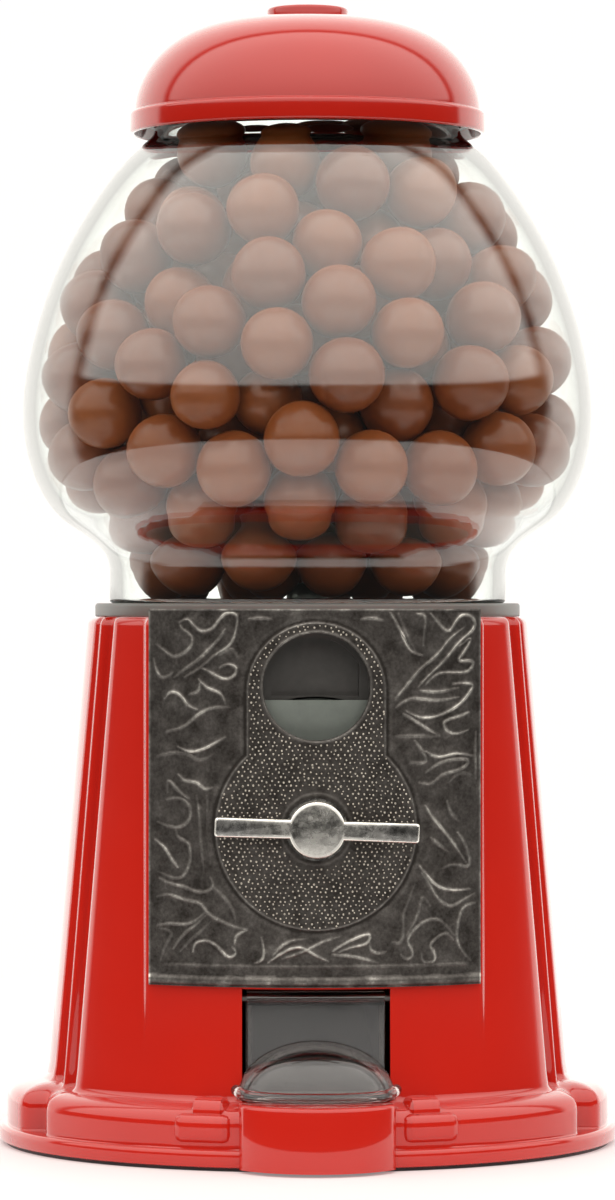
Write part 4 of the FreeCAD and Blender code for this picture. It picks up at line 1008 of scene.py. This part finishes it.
def lid():
    low, top = LID_LOW.z, LID_HIGH.z
    shoulder = low + 5.6
    dome_r, rim_r, knob_r, wall = 43.1, LID_HIGH.x, 10.1, 1.3

    def dome(r_max, crown):
        t = np.sin(np.linspace(0, math.pi / 2, 26))
        return np.stack([r_max * (1 - t ** 1.8) ** (1 / 3.4), shoulder + (crown - shoulder) * t], axis=1)

    rim = rounded([(rim_r - wall, low + 0.3, 0), (rim_r - wall + 0.1, low, 0.3), (rim_r, low, 0.8),
                   (rim_r, shoulder - 0.5, 1.0), (dome_r + 0.1, shoulder - 0.05, 0.25),
                   (dome_r, shoulder + 0.4, 0)], 6)
    inside = dome(dome_r - wall, top - wall)[::-1]
    outline = np.concatenate([rim[:-1], dome(dome_r, top), inside, [(rim_r - wall, shoulder - 2.2)]])
    shell = lathe("lid_shell", outline, 160, closed=True)
    dress(shell, "red_paint", "lid", ["lid_dome"])
    knob_top = cad_box("lid_knob")[1].z
    knob = lathe("knob_disc", rounded([(0, top - 0.9, 0), (knob_r, top - 0.9, 0),
                                       (knob_r, knob_top, 0.85), (0, knob_top, 0)], 6), 96)
    dress(knob, "red_paint", "lid", ["lid_knob"])


# ---- flap
FLAP_LOW, FLAP_HIGH = cad_box("chute_flap")


def flap():
    """Clear flap: a panel under its hinge barrel, and a scoop with a thick bead round its mouth."""
    low = FLAP_LOW.z
    half, front, barrel_r, hole_r, bead_r = 16.3, -64.0, 1.6, 0.95, 1.3
    scoop, hollow = (19.0, 15.0, 13.6), (17.4, 13.4, 12.1)
    mouth_side = 17.2            # the scoop stays within this where it passes the base's walls
    pin_z = FLAP_HIGH.z - barrel_r
    pin = (-62.2, pin_z)
    panel = block("flap_panel", (-half, front, low), (half, front + 1.5, pin_z), 0.25)
    barrel = rod("flap_barrel", barrel_r, (-half, half), pin, True, 32)
    shell = scoop_solid("scoop", scoop, front, low)
    bead = scoop_bead("bead", scoop, bead_r, front, low + bead_r)
    walls = [block("wall_room", (x0, -66.4, low - 2), (x1, -50, low + 30))
             for x0, x1 in ((-30, -mouth_side), (mouth_side, 30))]
    combine(shell, [bead], "UNION")
    combine(shell, walls, "DIFFERENCE")
    combine(panel, [barrel, shell], "UNION")
    inner = scoop_solid("scoop_inner", hollow, front + 0.02, low - 0.5, through=3.5)
    combine(panel, [inner, rod("pin_hole", hole_r, (-40, 40), pin, True, 32)], "DIFFERENCE")
    panel.name = "clear_flap"
    tidy_mesh(panel, 20)
    for face in panel.data.polygons:
        face.use_smooth = abs(face.normal.y) < 0.999      # the flat faces stay flat in reflections
    dress(panel, "clear_plastic", "flap", ["chute_flap"])


def scoop_solid(name, axes, mid_y, low, through=0.0):
    """Quarter of an ellipsoid before mid_y and above low; through carries it back past the panel."""
    ax, ay, az = axes
    rows, cols = 20, 40
    verts = []
    for up in np.linspace(0, math.pi / 2, rows):
        for turn in np.linspace(0, math.pi, cols):
            verts.append((-ax * math.cos(up) * math.cos(turn),
                          mid_y - ay * math.cos(up) * math.sin(turn), low + az * math.sin(up)))
    solid = mesh_piece(name, verts, grid_faces(rows, cols))
    bm = bmesh.new()
    bm.from_mesh(solid.data)
    border = [e for e in bm.edges if e.is_boundary]
    if through:
        back = [e for e in border if all(v.co.y > (mid_y - 0.01) * MM for v in e.verts)]
        made = bmesh.ops.extrude_edge_only(bm, edges=back)["geom"]
        for v in [g for g in made if isinstance(g, bmesh.types.BMVert)]:
            v.co.y += through * MM
        border = [e for e in bm.edges if e.is_boundary]
    bmesh.ops.holes_fill(bm, edges=border, sides=0)
    bmesh.ops.triangulate(bm, faces=[f for f in bm.faces if len(f.verts) > 4])
    bmesh.ops.recalc_face_normals(bm, faces=bm.faces)
    bm.to_mesh(solid.data)
    bm.free()
    return solid


def scoop_bead(name, axes, r, mid_y, z):
    """Round bead along the scoop's mouth, closed at both ends."""
    ax, ay, _ = axes
    cols, sides = 48, 14
    verts = []
    for turn in np.linspace(0, math.pi, cols):
        cx, cy = -ax * math.cos(turn), mid_y - 0.6 - ay * math.sin(turn) * 0.97
        out = Vector((-math.cos(turn) / ax, -math.sin(turn) / ay, 0)).normalized()
        lift = 1.2 * (1 - math.sin(turn)) ** 2
        for a in np.linspace(0, 2 * math.pi, sides, endpoint=False):
            verts.append((cx + out.x * r * math.cos(a), cy + out.y * r * math.cos(a),
                          z + lift + r * math.sin(a)))
    return mesh_piece(name, verts, tube_faces(cols, sides))


# ---- studio
CAMERA_DISTANCE, CAMERA_HEIGHT, CAMERA_TURN = 1.276, 0.134, math.radians(1.8)
LENS, SENSOR = 154.0, 36.0
FLOOR_R, FLOOR_GREY, FLOOR_GLOW = 550.0, 0.74, 0.24
SOFTBOX, SOFTBOX_TOP, BACKDROP, DARK_SIDE = 1.15, 1.7, 1.05, 0.05
LAMP_TINT = (1.0, 0.97, 0.92)
INSIDE_LOSS = 0.62       # share of the backdrop that reflections inside clear material lose
GLASS_EDGE = 0.62        # what the glass bends into view from the sides
SHINE = 0.45             # the lamps look this much brighter in a reflection


def studio():
    """Camera, paper floor and a sky that holds the softbox in front and the backdrop behind."""
    scene = bpy.context.scene
    camera = new_object("camera", bpy.data.cameras.new("camera"))
    camera.data.lens = LENS
    camera.data.sensor_width = SENSOR
    camera.location = (-CAMERA_DISTANCE * math.sin(CAMERA_TURN),
                       -CAMERA_DISTANCE * math.cos(CAMERA_TURN), CAMERA_HEIGHT)
    camera.rotation_euler = (math.pi / 2, 0, -CAMERA_TURN)
    scene.camera = camera
    turn = np.linspace(0, 2 * math.pi, 96, endpoint=False)
    floor = mesh_piece("studio_floor", [(FLOOR_R * math.cos(a), FLOOR_R * math.sin(a), 0.0) for a in turn],
                       [tuple(range(len(turn)))])
    paper = Shader("studio_paper", (FLOOR_GREY,) * 3, 0.6, Specular_IOR_Level=0.2,
                   Emission_Color=(1, 1, 1), Emission_Strength=FLOOR_GLOW)
    floor.data.materials.append(paper.material)

    world = bpy.data.worlds.new("studio")
    world.use_nodes = True
    sky = Nodes(world.node_tree)
    way = sky.node("ShaderNodeTexCoord").outputs["Generated"]
    split = sky.node("ShaderNodeSeparateXYZ", {"Vector": way})
    path = sky.node("ShaderNodeLightPath").outputs

    def step(axis, start, end, low, high):
        return sky.range(split.outputs[axis], low, high, start, end, interpolation_type="SMOOTHSTEP")

    def product(first, *others):
        for other in others:
            first = sky.math("MULTIPLY", first, other)
        return first

    def changed(source, share):
        """1 where the source is 0, and a share more where it is 1."""
        return sky.math("ADD", product(source, share), 1.0)

    def below_half(source):
        """1 for a count or a yes that is still 0."""
        return sky.math("LESS_THAN", source, 0.5)

    softbox = product(step("Z", 0.165, 0.20, 0.0, 1.0), step("Z", 0.1, 1.0, SOFTBOX, SOFTBOX_TOP),
                      step("Y", 0.25, 0.34, 1.0, 0.0))
    inside = (sky.math("GREATER_THAN", path[kind + " Depth"], 0.5) for kind in ("Transmission", "Glossy"))
    hidden = changed(product(*inside), -INSIDE_LOSS)
    backdrop = product(step("Y", 0.33, 0.44, DARK_SIDE, BACKDROP), hidden)
    lamps = product(sky.math("MAXIMUM", softbox, backdrop), changed(path["Is Glossy Ray"], SHINE))
    # Light that has met no surface but clear ones sees plain white behind the machine. Light that
    # lamps already brought through clear material isn't counted again.
    clear_ray, unlit = path["Is Transmission Ray"], below_half(path["Diffuse Depth"])
    behind = product(clear_ray, below_half(path["Glossy Depth"]), unlit,
                     step("Y", 0.80, 0.985, GLASS_EDGE, 1.0))
    seen = sky.math("MAXIMUM", path["Is Camera Ray"], behind)
    lamps = product(lamps, sky.math("MAXIMUM", unlit, below_half(clear_ray)))
    colour = sky.node("ShaderNodeCombineColor", {
        channel: sky.math("MAXIMUM", product(lamps, share), seen)
        for channel, share in zip(("Red", "Green", "Blue"), LAMP_TINT)})
    back = sky.tree.nodes["Background"]
    sky.link(colour.outputs["Color"], back.inputs["Color"])
    sky.link(1.0, back.inputs["Strength"])
    scene.world = world
    scene.view_settings.view_transform = "Standard"


# ---- assembly
for entry in frame["record"]["subparts"]:
    node = NODES[entry["node"]]
    node.data.materials.clear()
    node.data.materials.append(MATERIALS[entry["material_slot"]])

for build in (cast_base, face_plate, pebbles, handle, globe, seat_ring, candy, lid, flap, studio):
    build()
